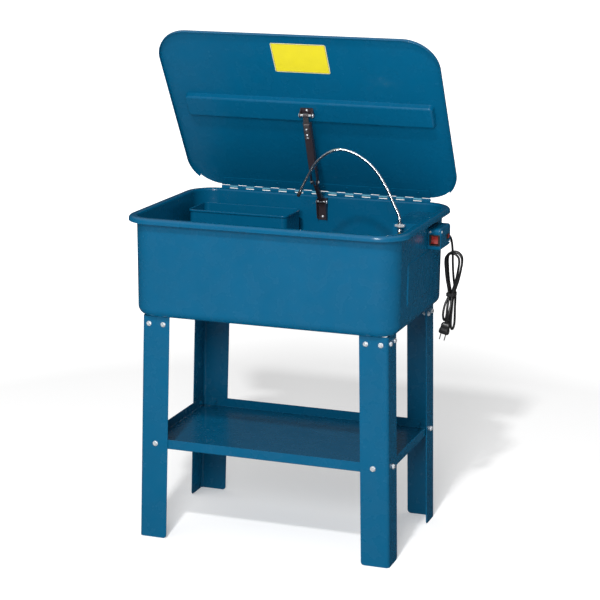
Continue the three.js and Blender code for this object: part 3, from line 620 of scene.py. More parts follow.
def bottom_fold(x, height):
    radius = (FOLD_BACK - FOLD_FRONT) / 2
    turned = arc((FOLD_BACK + FOLD_FRONT) / 2, height + radius, radius, 0, -180, FOLD_STEPS)
    return [(x, y, z) for y, z in turned]


def hank():
    """The folded stretch: strand, fold, strand, fold, from the top to where the cord leaves for its plug."""
    points = list(FIRST_STRAND)
    near, far = ABOVE_TIE
    for turn_number, (top, bottom) in enumerate(zip(TOP_FOLDS, BOTTOM_FOLDS)):
        down, up = waist_point(2 * turn_number), waist_point(2 * turn_number + 1)
        low = bottom_fold(*bottom)
        high = top_fold(*top)
        following = waist_point(2 * turn_number + 2)
        points += [down, between(low[0], down, BELOW_TIE), *low, between(low[-1], up, BELOW_TIE), up]
        points += [between(high[0], up, far), between(high[0], up, near), *high]
        points += [between(high[-1], following, near), between(high[-1], following, far)]
    return [*points, waist_point(6)]


def curve_cord(name, points):
    data = bpy.data.curves.new(name, "CURVE")
    data.dimensions = "3D"
    data.bevel_depth = CORD_RADIUS * MM
    data.bevel_resolution = 5
    data.resolution_u = 6
    data.use_fill_caps = True
    spline = data.splines.new("BEZIER")
    spline.bezier_points.add(len(points) - 1)
    for knot, point in zip(spline.bezier_points, points):
        knot.co = Vector(point) + TANK_MIDDLE
        knot.handle_left_type = "AUTO"
        knot.handle_right_type = "AUTO"
    data.materials.append(rubber)
    made = bpy.data.objects.new(name, data)
    bpy.context.scene.collection.objects.link(made)
    return made


def power_cord():
    made = curve_cord("power_cord_and_hank", CORD_START + hank() + CORD_END)
    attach(made, "tank")
    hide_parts("power_cord", "cord_hank", "cord_tail")
    return made


def ribbed_sleeve(length, wide, narrow, bore, ribs):
    """A tapering strain relief with rings moulded round it, hollow for the cord."""
    profile = [(bore, 0.0)]
    for rib in range(ribs):
        start = length * rib / ribs
        step = length / ribs
        reach = wide + (narrow - wide) * (rib + 0.5) / ribs
        profile += [(reach, start), (reach, start + step * 0.6)]
        profile += [(reach - 0.9, start + step * 0.68), (reach - 0.9, start + step * 0.92)]
    return lathe([*profile, (narrow, length), (bore, length)], 28, hollow=True)


def cord_gland():
    gland = Box("cord_gland")
    flange_start = 4.3
    along_y = shift(gland.x, gland.front, gland.z) @ turn(-90, "X")
    nut = prism(hexagon(14.4), flange_start, flange_start + 3.6)
    nut = carved(nut, cut=[rod(3.2, 0, 12, 24)])
    collar = tube(3.2, 4.8, 0, flange_start + 0.2, 28)
    sleeve = moved(ribbed_sleeve(21.5, 5.7, 3.9, 3.15, 7), shift(z=flange_start + 3.7))
    return piece("cord_gland_and_relief", together(nut, collar, sleeve), "tank", FITTINGS,
                 ["cord_gland"], along_y, bevel=0.35)


def cord_tie():
    """A flat strap pulled round the strands, with its tail lying against it."""
    tie = Box("cord_tie")
    across = [p[0] / MM for p in WAIST]
    deep = [p[1] / MM for p in WAIST]
    wall = 1.1
    slack = CORD_RADIUS + 0.25
    width = max(across) - min(across) + 2 * slack
    depth = max(deep) - min(deep) + 2 * slack
    x = (max(across) + min(across)) / 2 + TANK.x
    y = (max(deep) + min(deep)) / 2 + TANK.y
    low, high = tie.low + 0.4, tie.high - 0.4
    rings = []
    for inset, height in ((-wall, low), (-wall, high), (0, high), (0, low)):
        outline = rounded(width - 2 * inset, depth - 2 * inset, 5.0 - inset, 8, x, y)
        rings.append([(px, py, height) for px, py in outline])
    strap = rings_solid(rings, closed=True)
    tail_x = x + width / 2 + wall
    tail = block(tail_x - 0.3, y - 8, low + 1.4, tail_x + 1.2, y + 5, high - 1.4)
    return piece("cord_tie_strap", carved(strap, joined=[tail]), "tank", FITTINGS,
                 ["cord_tie"], bevel=0.3)


PLUG_LEAN = 14.0
BLADE_SPACING = 12.7
PLUG_TOP = (0.3685, 0.151, 0.5435)


def plug_parts():
    """A moulded two-blade plug with a waisted grip, and its blades as a piece of their own."""
    place = shift(*((Vector(PLUG_TOP) + TANK_MIDDLE) / MM)) @ turn(PLUG_LEAN, "Y")
    profile = [(3.5, -31), (0.8, -29.5), (0, -27), (0, -21), (1.6, -16), (2.0, -12), (1.4, -8), (2.6, -4),
               (5, -1.2), (7.4, 0)]
    body = pan(27, 17, 6.5, profile, 8)
    grips = []
    for step in range(4):
        for side in (-1, 1):
            y = side * 8.2
            grips.append(block(-7, y - 0.9, -19 + step * 3.4, 7, y + 0.9, -17.4 + step * 3.4))
    boot = moved(ribbed_sleeve(18, 5.5, 4.0, 2.9, 6), shift(z=-1.0))
    grip = piece("plug_body", together(carved(body, cut=grips), boot), "tank", RUBBER,
                 ["plug"], place, bevel=0.4)
    blades = []
    for x in (-BLADE_SPACING / 2, BLADE_SPACING / 2):
        outline = [(-3.1, -30), (3.1, -30), (3.1, -46.5), (1.9, -48), (-1.9, -48), (-3.1, -46.5)]
        hole = moved(rod(1.4, -2, 2, 16), shift(x, 0, -43.5) @ turn(90, "Y"))
        blades.append(carved(side_prism(outline, x - 0.75, x + 0.75), cut=[hole]))
    metal = piece("plug_blades", together(*blades), "tank", BLADE_METAL, (), place, bevel=0.2)
    return [grip, metal]


def cord_assembly():
    cord = power_cord()
    gland = cord_gland()
    tie = cord_tie()
    ends = plug_parts()


cord_assembly()

# ---------------------------------------------------------------- tank

WALL_LEAN = 1.6  # how far each wall leans in by the floor
TANK_CORNER = 58.0
DRAIN_HOLE = 13.0
EMBOSS = {
    "width": 230.0,
    "height": 110.0,
    "corner": 14.0,
    "y": TANK.y - 10.0,
    "z": 695.0,
    "depth": 2.3,
    "edge": 4.5,
}


def graded(half, reach, count):
    """Positions close together around -half and half, and far apart between."""
    near = [half - reach + 2 * reach * i / count for i in range(count + 1)]
    return sorted([-d for d in near] + [0.0] + near)


def embossed(y, z):
    """How far the pressed panel stands out from the right wall at a point."""
    reach_y = abs(y - EMBOSS["y"]) - EMBOSS["width"] / 2 + EMBOSS["corner"]
    reach_z = abs(z - EMBOSS["z"]) - EMBOSS["height"] / 2 + EMBOSS["corner"]
    outside = math.hypot(max(reach_y, 0), max(reach_z, 0)) + min(max(reach_y, reach_z), 0) - EMBOSS["corner"]
    share = min(max(-outside / EMBOSS["edge"], 0.0), 1.0)
    return EMBOSS["depth"] * share * share * (3 - 2 * share)


def tank_profile(heights):
    """The tank's section: up the outside, over the rolled rim and down the inside."""
    low, top = TANK.low, TANK.high
    floor_radius = 24.0
    wall = top - 6

    def inset(z):
        return WALL_LEAN * (wall - z) / (wall - low - floor_radius)

    outside = arc(WALL_LEAN + floor_radius, low + floor_radius, floor_radius, -90, -180, 12)
    climb = [(inset(z), z) for z in heights]
    under = arc(-4, wall, 4, 0, 90, 6) + arc(-11.3, top - 9, 7, 90, 180, 8)
    lip = arc(1 - RIM_REACH, top - 13, 1, 0, -180, 6)
    over = arc(-11.3, top - 9, 9, 180, 90, 10) + arc(-4, wall, 6, 90, 0, 8)
    drop = [(inset(z) + SHEET, z) for z in reversed(heights)]
    turn_in = arc(WALL_LEAN + floor_radius, low + floor_radius, floor_radius - SHEET, -180, -90, 12)
    return outside + climb + under + lip + over + drop + turn_in


def tank_body():
    heights = [EMBOSS["z"] + d for d in graded(EMBOSS["height"] / 2 - EMBOSS["corner"] / 2, 11, 16)]
    columns = [EMBOSS["y"] - TANK.y + d for d in graded(EMBOSS["width"] / 2 - EMBOSS["corner"] / 2, 11, 16)]
    points, faces = pan(WALL_WIDTH, WALL_DEPTH, TANK_CORNER, tank_profile(heights), 20, extra=columns)
    shaped = []
    for x, y, z in points:
        x, y = x + TANK.x, y + TANK.y
        if x > TANK.x + WALL_WIDTH / 2 - 8 and z < TANK.high - 12:
            x += embossed(y, z)
        shaped.append((x, y, z))
    plug = Box("drain_plug")
    hole = moved(rod(DRAIN_HOLE, -6, 8, 32), shift(plug.x, plug.y, TANK.low))
    return piece("tank_shell", carved((shaped, faces), cut=[hole]), "tank", PAINT, ["tank_body"])


tank_body()


# ---------------------------------------------------------------- fasteners

WASHER = 1.0
STUD = (2.6, 1.6)  # screw heads: radius and height
SMALL_STUD = (2.2, 1.4)
SMALL_SCREW = (3.0, 2.0)
BRACKET_SCREW = (3.2, 2.0)
SHEET_SCREW = (3.4, 2.2)
PUMP_SCREW = (3.0, 1.8)


def washer(across):
    bore, edge = across * 0.3, across * 0.72
    return tube(bore, edge, 0, WASHER, 28)


def bolt_parts(across, shank):
    """A bolt with a chamfered hexagon head towards +Z, on a washer that lies on z = 0."""
    head = prism(hexagon(across), WASHER, WASHER + across * 0.42)
    crown = lathe([
        (across * 0.62, 0.4),
        (across * 0.62, across * 0.3),
        (across * 0.5, WASHER + across * 0.4),
        (across * 0.42, WASHER + across * 0.43),
    ], 28)
    trimmed = carved(head, within=[crown])
    stem = rod(across * 0.29, 0.6 - shank, 1.4, 16)
    return together(washer(across), trimmed, stem)


def nut_parts(across):
    """A nut on a washer, with the end of the bolt's thread standing out of it towards +Z."""
    body = prism(hexagon(across), 1.1, 1.1 + across * 0.5)
    thread = []
    for step in range(9):
        height = 1.2 + across * 0.5 + step * 0.35
        thread.append((across * (0.27 if step % 2 else 0.31), height))
    return together(washer(across), body, lathe([(across * 0.27, 0.4), *thread], 16))


def screw_parts(radius, height):
    """A pan head with a cross recess, on z = 0."""
    profile = [
        (radius, 0),
        (radius, height * 0.45),
        (radius * 0.8, height * 0.85),
        (radius * 0.45, height),
    ]
    head = lathe(profile, 24)
    long, short = radius * 0.6, radius * 0.13
    arms = [block(-x, -y, height * 0.5, x, y, height + 1) for x, y in ((long, short), (short, long))]
    return carved(head, cut=arms)


def screws(size, places):
    """A screw head of one size at each of the places."""
    return together(*[moved(screw_parts(*size), place) for place in places])


def facing(x, y, z, side):
    """A place on the side "+x", "-x", "+y" or "-y" of something, with its Z pointing outwards."""
    turns = {"+x": turn(90, "Y"), "-x": turn(-90, "Y"), "+y": turn(-90, "X"), "-y": turn(90, "X")}
    return shift(x, y, z) @ turns[side]


def side_of(axis, sign):
    """The name of the side that a sign points to along an axis."""
    return ("+" if sign > 0 else "-") + axis


# ---------------------------------------------------------------- drain

DRAIN_BORE = 9.6
BUNG_ACROSS = 33.0
PLUG_ACROSS = 24.2
PLUG_HEAD = 7.0
PLUG_SQUARE = 4.8  # half of the square recess that takes the key


def drain():
    bung = Box("drain_bung")
    ring = prism(hexagon(BUNG_ACROSS), bung.low, bung.high)
    ring = carved(ring, cut=[rod(DRAIN_BORE, bung.low - 2, bung.high + 2, 32)])
    place = shift(bung.x, bung.y)
    piece("drain_bung_ring", ring, "tank", ZINC, ["drain_bung"], place, bevel=0.8)
    plug = Box("drain_plug")
    head = prism(hexagon(PLUG_ACROSS), plug.low, plug.low + PLUG_HEAD)
    square = block(-PLUG_SQUARE, -PLUG_SQUARE, plug.low - 2, PLUG_SQUARE, PLUG_SQUARE, plug.low + 4)
    head = carved(head, cut=[square])
    thread = [(8.6, plug.low + 6)]
    for step in range(16):
        thread.append((9.1 if step % 2 else 8.4, plug.low + 7.5 + step * 0.6))
    stem = lathe([*thread, (8.6, plug.high)], 28)
    piece("drain_plug_body", together(head, stem), "drain_plug", BRASS, ["drain_plug"],
          shift(plug.x, plug.y), bevel=0.4)


drain()

# ---------------------------------------------------------------- stand

CORNERS = {"front_left": (-1, -1), "front_right": (1, -1), "rear_left": (-1, 1), "rear_right": (1, 1)}
LEG_SHEET = 2.5
LEG_BEND = 9.0
SPLAY = 0.0245
SPLAY_FROM = 560.0
LEG_HALF_WIDTH = 320.0
LEG_HALF_DEPTH = 206.0
FLANGE_FRONT = 72.5
FLANGE_SIDE = 71.0
FOOT_CORNER = 9.0
BRACKET_FLANGE = 66.0
TOP_BOLT_HEIGHT = 562.9
TOP_BOLTS_FRONT = (17.5, 55.7)
TOP_BOLTS_SIDE = (21.3, 56.9)
TOP_BOLT_ACROSS = 9.0
TOP_BOLT_SHANK = 4.0
GRIP = 2 * LEG_SHEET + 0.6  # from a bolt's washer, through leg and bracket, to its nut
SHELF_BOLT_ACROSS = 9.6
SHELF_GRIP = 6.6
SHELF_BOLT_HEAD = 4.0  # how far a CAD shelf bolt's head stands out


def angle_outline(x, y, reach_x, reach_y, sheet, bend):
    """An angle section with its corner towards +X +Y."""
    outer = arc(x - bend, y - bend, bend, 0, 90, 10)
    inner = arc(x - bend, y - bend, bend - sheet, 90, 0, 10)
    across = [(x - reach_x, y), (x - reach_x, y - sheet)]
    along_side = [(x - sheet, y - reach_y), (x, y - reach_y)]
    return [*outer, *across, *inner, *along_side]


def corner_place(sign_x, sign_y):
    """Mirrors a corner drawn towards +X +Y, and leans it outward as it goes down."""
    lean = Matrix.Identity(4)
    lean[0][2] = -SPLAY
    lean[0][3] = SPLAY * SPLAY_FROM
    return shift(TANK.x, TANK.y) @ Matrix.Diagonal((sign_x, sign_y, 1, 1)) @ lean


def corner_x(height):
    return LEG_HALF_WIDTH + SPLAY * (SPLAY_FROM - height)


def foot_corners():
    """What is rounded off the free lower corner of each flange of a leg."""
    radius = FOOT_CORNER
    waste = [*arc(radius, radius, radius, 270, 180, 6), (-1, radius), (-1, -1), (radius, -1)]
    front = [(LEG_HALF_WIDTH - FLANGE_FRONT + x, y) for x, y in waste]
    side = [(LEG_HALF_DEPTH - FLANGE_SIDE + x, y) for x, y in waste]
    across = moved(prism(front, -LEG_HALF_DEPTH - 5, 10 - LEG_HALF_DEPTH), turn(90, "X"))
    flank = side_prism(side, LEG_HALF_WIDTH - 10, LEG_HALF_WIDTH + 5)
    return [across, flank]


def leg(name, sign_x, sign_y):
    box = Box(f"leg_{name}")
    outline = angle_outline(LEG_HALF_WIDTH, LEG_HALF_DEPTH, FLANGE_FRONT, FLANGE_SIDE, LEG_SHEET, LEG_BEND)
    trimmed = carved(prism(outline, box.low, box.high), cut=foot_corners())
    piece(f"leg_angle_{name}", trimmed, "tank", PAINT, [f"leg_{name}"],
          corner_place(sign_x, sign_y), bevel=0.5)
    inset = LEG_SHEET + 0.3
    bracket = Box(f"corner_bracket_{name}")
    inner = angle_outline(
        LEG_HALF_WIDTH - inset, LEG_HALF_DEPTH - inset,
        BRACKET_FLANGE, BRACKET_FLANGE, LEG_SHEET, LEG_BEND - inset)
    piece(f"bracket_angle_{name}", prism(inner, bracket.low, bracket.high), "tank", PAINT,
          [f"corner_bracket_{name}"], corner_place(sign_x, sign_y), bevel=0.5)


def stand_bolts(name, sign_x, sign_y):
    """The bolts at the top of a leg, with their nuts inside."""
    outer_x = corner_x(TOP_BOLT_HEIGHT)
    places = [("y", sign_y, outer_x - reach, LEG_HALF_DEPTH) for reach in TOP_BOLTS_FRONT]
    places += [("x", sign_x, outer_x, LEG_HALF_DEPTH - reach) for reach in TOP_BOLTS_SIDE]
    bolts, nuts = [], []
    for axis, sign, from_x, from_y in places:
        x, y = TANK.x + sign_x * from_x, TANK.y + sign_y * from_y
        outside = facing(x, y, TOP_BOLT_HEIGHT, side_of(axis, sign))
        bolts.append(moved(bolt_parts(TOP_BOLT_ACROSS, TOP_BOLT_SHANK), outside))
        if axis == "x":
            x -= sign * GRIP
        else:
            y -= sign * GRIP
        inside = facing(x, y, TOP_BOLT_HEIGHT, side_of(axis, -sign))
        nuts.append(moved(nut_parts(TOP_BOLT_ACROSS), inside))
    piece(f"top_bolts_{name}", together(*bolts), "tank", ZINC, bevel=0.2)
    piece(f"top_nuts_{name}", together(*nuts), "tank", ZINC, bevel=0.2)


def shelf_bolt(name, letter, sign, along_x):
    box = Box(f"shelf_bolt_{name}_{letter}")
    if along_x:
        face = box.x + sign * (box.width / 2 - SHELF_BOLT_HEAD)
        place = facing(face, box.y, box.z, side_of("x", sign))
    else:
        face = box.y + sign * (box.depth / 2 - SHELF_BOLT_HEAD)
        place = facing(box.x, face, box.z, side_of("y", sign))
    depth = box.width if along_x else box.depth
    piece(f"shelf_bolt_{name}_{letter}_hex", bolt_parts(SHELF_BOLT_ACROSS, depth - 5), "tank", ZINC,
          [f"shelf_bolt_{name}_{letter}"], place, bevel=0.2)
    nut_place = place @ shift(z=-SHELF_GRIP) @ turn(180, "X")
    nut = nut_parts(SHELF_BOLT_ACROSS)
    piece(f"shelf_nut_{name}_{letter}", nut, "tank", PAINT, (), nut_place, bevel=0.2)


def lower_shelf():
    """A folded tray: a flat deck with lips that turn up with a tight bend."""
    box = Box("lower_shelf")
    low, high = box.low, box.high
    profile = [
        *arc(3.4, low + 3.4, 3.4, -90, -180, 6),
        *arc(0.5, high - 0.5, 0.5, 180, 90, 3),
        *arc(1.5, high - 0.5, 0.5, 90, 0, 3),
        *arc(3.4, low + 3.4, 1.4, 180, 270, 5),
    ]
    tray = moved(pan(box.width, box.depth, 6.5, profile, 6), shift(box.x, box.y))
    piece("lower_shelf_tray", tray, "tank", PAINT, ["lower_shelf"])


for corner_name, signs in CORNERS.items():
    leg(corner_name, *signs)
    stand_bolts(corner_name, *signs)
    shelf_bolt(corner_name, "a", signs[1], along_x=False)
    shelf_bolt(corner_name, "b", signs[0], along_x=True)
lower_shelf()

# ---------------------------------------------------------------- lid

LID = Box("lid_panel", LID_PLACE)
LID_SHEET = 1.5
LID_CORNER = 88.0
LIP_FREE_BACK = -33.0


def lid_panel():
    """A pressed lid with a rolled edge and a lip, which stops short of the hinge."""
    top, low = LID.high, LID.low
    profile = [
        *arc(3.0, top - 3.0, 3.0, 90, 180, 8),
        *arc(0.5, low + 0.5, 0.5, 180, 270, 3),
        *arc(1.0, low + 0.5, 0.5, 270, 360, 3),
        *arc(3.2, top - 3.2, 1.7, 180, 90, 6),
    ]
    shell = moved(pan(LID.width, LID.depth, LID_CORNER, profile, 24), shift(LID.x, LID.y))
    clear = block(LID.left - 5, LIP_FREE_BACK, low - 5, LID.right + 5, LID.back + 5, top - LID_SHEET - 0.02)
    piece("lid_shell", carved(shell, cut=[clear]), "lid", PAINT, ["lid_panel"], LID_PLACE)


def lid_stiffener():
    """A shallow pressed channel spot-welded across the lid, with soft edges."""
    box = Box("lid_stiffener", LID_PLACE)
    low, high = box.low, box.high
    profile = [
        *arc(8.0, low + 6.0, 6.0, -90, -160, 7),
        (0.6, high - 1.2),
        (0.0, high),
        (SHEET, high),
        *arc(8.0, low + 6.0, 4.2, -160, -90, 7),
    ]
    channel = moved(pan(box.width, box.depth, 12, profile, 8), shift(box.x, box.y))
    piece("lid_channel", channel, "lid", PAINT, ["lid_stiffener"], LID_PLACE)


def caution_label():
    box = Box("caution_label", LID_PLACE)
    film = prism(rounded(box.width, box.depth, 4.5, 8, box.x, box.y), box.high - 0.5, box.high)
    look = printed_label("label_film", LID_PLACE, box)
    piece("plain_label", film, "lid", ("yellow_label", look), ["caution_label"], LID_PLACE, bevel=0.1)


lid_panel()
lid_stiffener()
caution_label()

# ---------------------------------------------------------------- piano hinge

KNUCKLES = 25
KNUCKLE_RADIUS = 3.5
HINGE_BORE = 1.95
HINGE_LEAF = 1.5
HINGE_PIN = 1.5
HINGE_GAP = 0.3


def knuckles(length, first):
    """Every other rolled knuckle along the hinge, around the X axis."""
    pitch = length / KNUCKLES
    half = (pitch - HINGE_GAP) / 2
    rolled = []
    for i in range(first, KNUCKLES, 2):
        roll = lathe([
            (HINGE_BORE, -half), (KNUCKLE_RADIUS - 0.4, -half), (KNUCKLE_RADIUS, 0.4 - half),
            (KNUCKLE_RADIUS, half - 0.4), (KNUCKLE_RADIUS - 0.4, half), (HINGE_BORE, half)], 24, hollow=True)
        rolled.append(moved(roll, shift(-length / 2 + pitch * (i + 0.5)) @ turn(90, "Y")))
    return together(*rolled)


def comb(length, first, edge, root, low, high):
    """A hinge leaf's plate with a tongue at each knuckle of its own."""
    pitch = length / KNUCKLES
    half = (pitch - HINGE_GAP) / 2
    outline = [(-length / 2, edge), (length / 2, edge)]
    for i in reversed(range(KNUCKLES)):
        middle = -length / 2 + pitch * (i + 0.5)
        reach = 0.0 if i % 2 == first else root
        outline += [(middle + half, reach), (middle - half, reach)]
    return prism(outline, low, high)


def rivets(length, y, height, count):
    """Flat painted rivet heads along a hinge leaf, facing down."""
    heads = []
    for i in range(count):
        x = -length / 2 + length * (i + 0.5) / count
        head = lathe([(3.4, 0), (3.4, 0.3), (2.6, 0.9), (1.2, 1.1)], 20)
        heads.append(moved(head, shift(x, y, height) @ turn(180, "X")))
    return together(*heads)


def hinge_leaves():
    length = Box("hinge_leaf_tank").width
    at_hinge = shift(*HINGE_POINT)
    inner = KNUCKLE_RADIUS - 0.1
    root = -(KNUCKLE_RADIUS + 0.8)
    flat = comb(length, 0, -26, root, -inner, HINGE_LEAF - inner)
    hanging = [(x, z, y) for x, y, z in flat[0]], flat[1]
    piece("tank_leaf_plate", hanging, "tank", PAINT, ["hinge_leaf_tank"], at_hinge)
    piece("tank_leaf_knuckles", knuckles(length, 0), "tank", PAINT, (), at_hinge)
    flat = comb(length, 1, -30, root, inner - HINGE_LEAF - 0.3, inner - 0.3)
    piece("lid_leaf_plate", flat, "lid", PAINT, ["hinge_leaf_lid"], LID_PLACE, bevel=0.3)
    # The lid leaf's knuckles are a paler copy of the blue: a painted highlight along the hinge.
    piece("lid_leaf_knuckles", knuckles(length, 1), "lid", KNUCKLE_HIGHLIGHT_ZINC, (), LID_PLACE)
    heads = rivets(length, -20, inner - HINGE_LEAF - 0.35, 9)
    piece("lid_leaf_rivets", heads, "lid", PAINT, (), LID_PLACE)
    pin = Box("hinge_pin")
    half = pin.width / 2
    profile = [(0.9, -half), (HINGE_PIN, 0.8 - half), (HINGE_PIN, half - 0.8), (0.9, half)]
    piece("hinge_pin_rod", moved(lathe(profile, 20), turn(90, "Y")), "tank", ZINC, ["hinge_pin"],
          shift(pin.x, pin.y, pin.z))


hinge_leaves()

# ---------------------------------------------------------------- lid stay

UPPER_PLACE = arm_place(LID_PIN, ELBOW)
LOWER_PLACE = arm_place(ELBOW, TANK_PIN)
UPPER_LENGTH = (ELBOW - LID_PIN).length
LOWER_LENGTH = (TANK_PIN - ELBOW).length


def channel_outline(half, web, back, sheet, bend):
    """A channel section in X and Y. Its web is at y = web, and its flanges run back to y = back."""
    inner = bend - sheet
    return [
        (-half, back), *arc(bend - half, web + bend, bend, 180, 270, 5),
        *arc(half - bend, web + bend, bend, 270, 360, 5), (half, back), (half - sheet, back),
        *arc(half - bend, web + bend, inner, 360, 270, 5), *arc(bend - half, web + bend, inner, 270, 180, 5),
        (sheet - half, back)]


def hole_x(radius, y, z, half=30.0):
    return moved(rod(radius, -half, half, 24), shift(0, y, z) @ turn(90, "Y"))


def stay_upper_arm():
    half, deep, sheet = 10.0, 7.0, SHEET
    end = -UPPER_LENGTH
    section = prism(channel_outline(half, -deep, deep, sheet, 3.0), end - 10, -18)
    silhouette = side_prism([
        *arc(0, end, deep, 0, -180, 12), (-deep, -24), (-3.5, -20), (3.5, -20), (deep, -24)], -20, 20)
    open_top = block(sheet - half, -deep - 1, -28, half - sheet, -deep + sheet + 1.2, 0)
    open_low = block(sheet - half, -deep - 1, end - 12, half - sheet, -deep + sheet + 1.2, end + 42)
    arm = carved(carved(section, within=[silhouette]), cut=[open_top, open_low, hole_x(2.9, 0, end)])
    piece("stay_channel", arm, "stay_upper", DARK_STEEL, ["stay_upper_arm"], UPPER_PLACE, bevel=0.25)


def stay_lower_arm():
    half, deep, sheet = 5.5, 5.0, 1.5
    end = -LOWER_LENGTH
    section = prism(channel_outline(half, -deep, deep, sheet, 2.2), end - 8, 8)
    silhouette = side_prism([*arc(0, end, deep, 0, -180, 12), *arc(0, 0, deep, 180, 0, 12)], -20, 20)
    open_top = block(sheet - half, -deep - 1, -8, half - sheet, -deep + sheet + 0.7, 12)
    open_low = block(sheet - half, -deep - 1, end - 12, half - sheet, -deep + sheet + 0.7, end + 8)
    holes = [hole_x(3, 0, 0), hole_x(3, 0, end)]
    arm = carved(carved(section, within=[silhouette]), cut=[open_top, open_low, *holes])
    piece("stay_link", arm, "stay_lower", DARK_STEEL, ["stay_lower_arm"], LOWER_PLACE, bevel=0.2)


def strip_outline(path, thickness):
    """A bent sheet's edge, from the line that one face follows. The other face lies to its right."""
    points = [Vector(p) for p in path]
    other = []
    for i, point in enumerate(points):
        ahead = (points[min(i + 1, len(points) - 1)] - points[max(i - 1, 0)]).normalized()
        other.append(point + Vector((ahead.y, -ahead.x)) * thickness)
    return [tuple(p) for p in points] + [tuple(p) for p in reversed(other)]


def fusible_link():
    """A soldered strap that parts in a fire: an eye round the lid pin, and two lapped plates."""
    rolled = lathe([(3.5, -7), (5.6, -7), (6, -6.6), (6, 6.6), (5.6, 7), (3.5, 7)], 32, hollow=True)
    eye = moved(rolled, turn(90, "Y"))
    bend = [(-4.3, -4.5), (-4.3, -21), (-4.8, -22.8), (-7.0, -25.0), (-7.6, -26.6), (-7.6, -64)]
    strap = side_prism(strip_outline(bend, 1.6), -7, 7)
    cover = moved(prism(rounded(11, 26, 3, 6), 0, 1.4), shift(0, -9.25, -43) @ turn(90, "X"))
    studs = screws(STUD, [facing(0, -10.6, z, "-y") for z in (-35, -51)])
    lower_stud = screws(SMALL_STUD, [facing(0, -9.2, -60.5, "-y")])
    link = together(carved(strap, joined=[eye]), cover)
    piece("fusible_strap", link, "stay_upper", SMOKED_ZINC, ["fusible_link"], UPPER_PLACE, bevel=0.2)
    piece("fusible_studs", together(studs, lower_stud), "stay_upper", ZINC, (), UPPER_PLACE)


def domed_rivet(length, shank, head, rise):
    """A rivet along Z with its head's flat side on z = 0."""
    dome = arc(0, 0, 1, 20, 75, 5)
    profile = [(shank, -length), (shank, 0), (head, 0)]
    profile += [(head * x, rise * (y - 0.34) / 0.66 + 0.3) for x, y in dome]
    return lathe(profile, 24)


def stay_rivets():
    for side, sign in (("right", 1), ("left", -1)):
        box = Box(f"stay_elbow_rivet_{side}")
        face = box.left + 4.0 if sign > 0 else box.right - 4.0
        place = facing(face, box.y, box.z, side_of("x", sign))
        piece(f"elbow_rivet_{side}", domed_rivet(3.6, 2.4, 4.4, 2.0), "stay_upper", ZINC,
              [f"stay_elbow_rivet_{side}"], place)


def pin_with_heads(box, radius, head):
    """A pin along X with a rounded head at each end."""
    half = box.width / 2
    one_end = [
        (head * 0.6, -half),
        (head * 0.92, 0.5 - half),
        (head, 1.0 - half),
        (head, 2.0 - half),
        (radius, 2.0 - half),
    ]
    other_end = [(r, -z) for r, z in reversed(one_end)]
    return moved(lathe([*one_end, *other_end], 28), turn(90, "Y"))


def ears(box, outline):
    """The two side plates of a bracket."""
    lefts = (box.left, box.right - SHEET)
    return [side_prism(outline, left, left + SHEET) for left in lefts]


def stay_lid_bracket():
    box = Box("stay_lid_bracket", LID_PLACE)
    pin = Box("stay_lid_pin", LID_PLACE)
    base = box.high
    plate = moved(prism(rounded(box.width, box.depth, 2, 5), base - SHEET, base), shift(box.x, box.y))
    outline = [(box.front + 2, base - 0.5), *arc(pin.y, pin.z, 7, -180, 0, 14), (box.back - 2, base - 0.5)]
    hole = moved(hole_x(3.5, pin.y, pin.z, 40), shift(box.x))
    bracket = carved(plate, joined=ears(box, outline), cut=[hole])
    piece("lid_bracket", bracket, "lid", DARK_STEEL, ["stay_lid_bracket"], LID_PLACE, bevel=0.35)
    places = [shift(box.x, box.y + d, base - SHEET) @ turn(180, "X") for d in (-8, 8)]
    piece("lid_bracket_screws", screws(BRACKET_SCREW, places), "lid", ZINC, (), LID_PLACE)
    shank = moved(pin_with_heads(pin, 3.0, 5.0), shift(pin.x, pin.y, pin.z))
    piece("lid_pin_rod", shank, "lid", ZINC, ["stay_lid_pin"], LID_PLACE)


def stay_tank_bracket():
    box = Box("stay_tank_bracket")
    wall = box.back
    plate = block(box.left, wall - SHEET, box.low, box.right, wall, box.high)
    round_end = arc(TANK_PIN.y, TANK_PIN.z, 8, 90, 207, 12)
    outline = [(wall - 0.5, box.low + 2), (wall - 0.5, box.high - 0.5), *round_end, (wall - 12, box.low + 4)]
    hole = moved(hole_x(3.0, TANK_PIN.y, TANK_PIN.z, 40), shift(box.x))
    bracket = carved(plate, joined=ears(box, outline), cut=[hole])
    piece("tank_bracket", bracket, "tank", DARK_STEEL, ["stay_tank_bracket"], bevel=0.35)
    place = facing(box.x, wall - SHEET, box.low + 9, "-y")
    piece("tank_bracket_screw", screws(BRACKET_SCREW, [place]), "tank", ZINC)
    pin = Box("stay_tank_pin")
    shank = moved(pin_with_heads(pin, 2.5, 4.4), shift(pin.x, pin.y, pin.z))
    piece("tank_pin_rod", shank, "tank", ZINC, ["stay_tank_pin"])


stay_upper_arm()
stay_lower_arm()
fusible_link()
stay_rivets()
stay_lid_bracket()
stay_tank_bracket()

# ---------------------------------------------------------------- spout

SPOUT_PLACE = shift(*SPOUT_BASE)

# Distance to the left of the base, and height above the pivot.
GOOSENECK = [
    (0, 22),
    (0, 26),
    (2, 36),
    (8, 50),
    (17, 67),
    (34, 102),
    (58, 139),
    (81, 163),
    (105, 179),
    (128, 189),
    (151, 193.5),
    (174, 190),
    (198, 177),
    (221, 155),
    (244, 116),
    (260, 83),
]
RIB_PITCH = 2.2
RIB_DEPTH = 0.3
HOSE_RADIUS = 4.0
LEDGE_TOP = 789.4  # just over the sheet that the fitting is clamped to


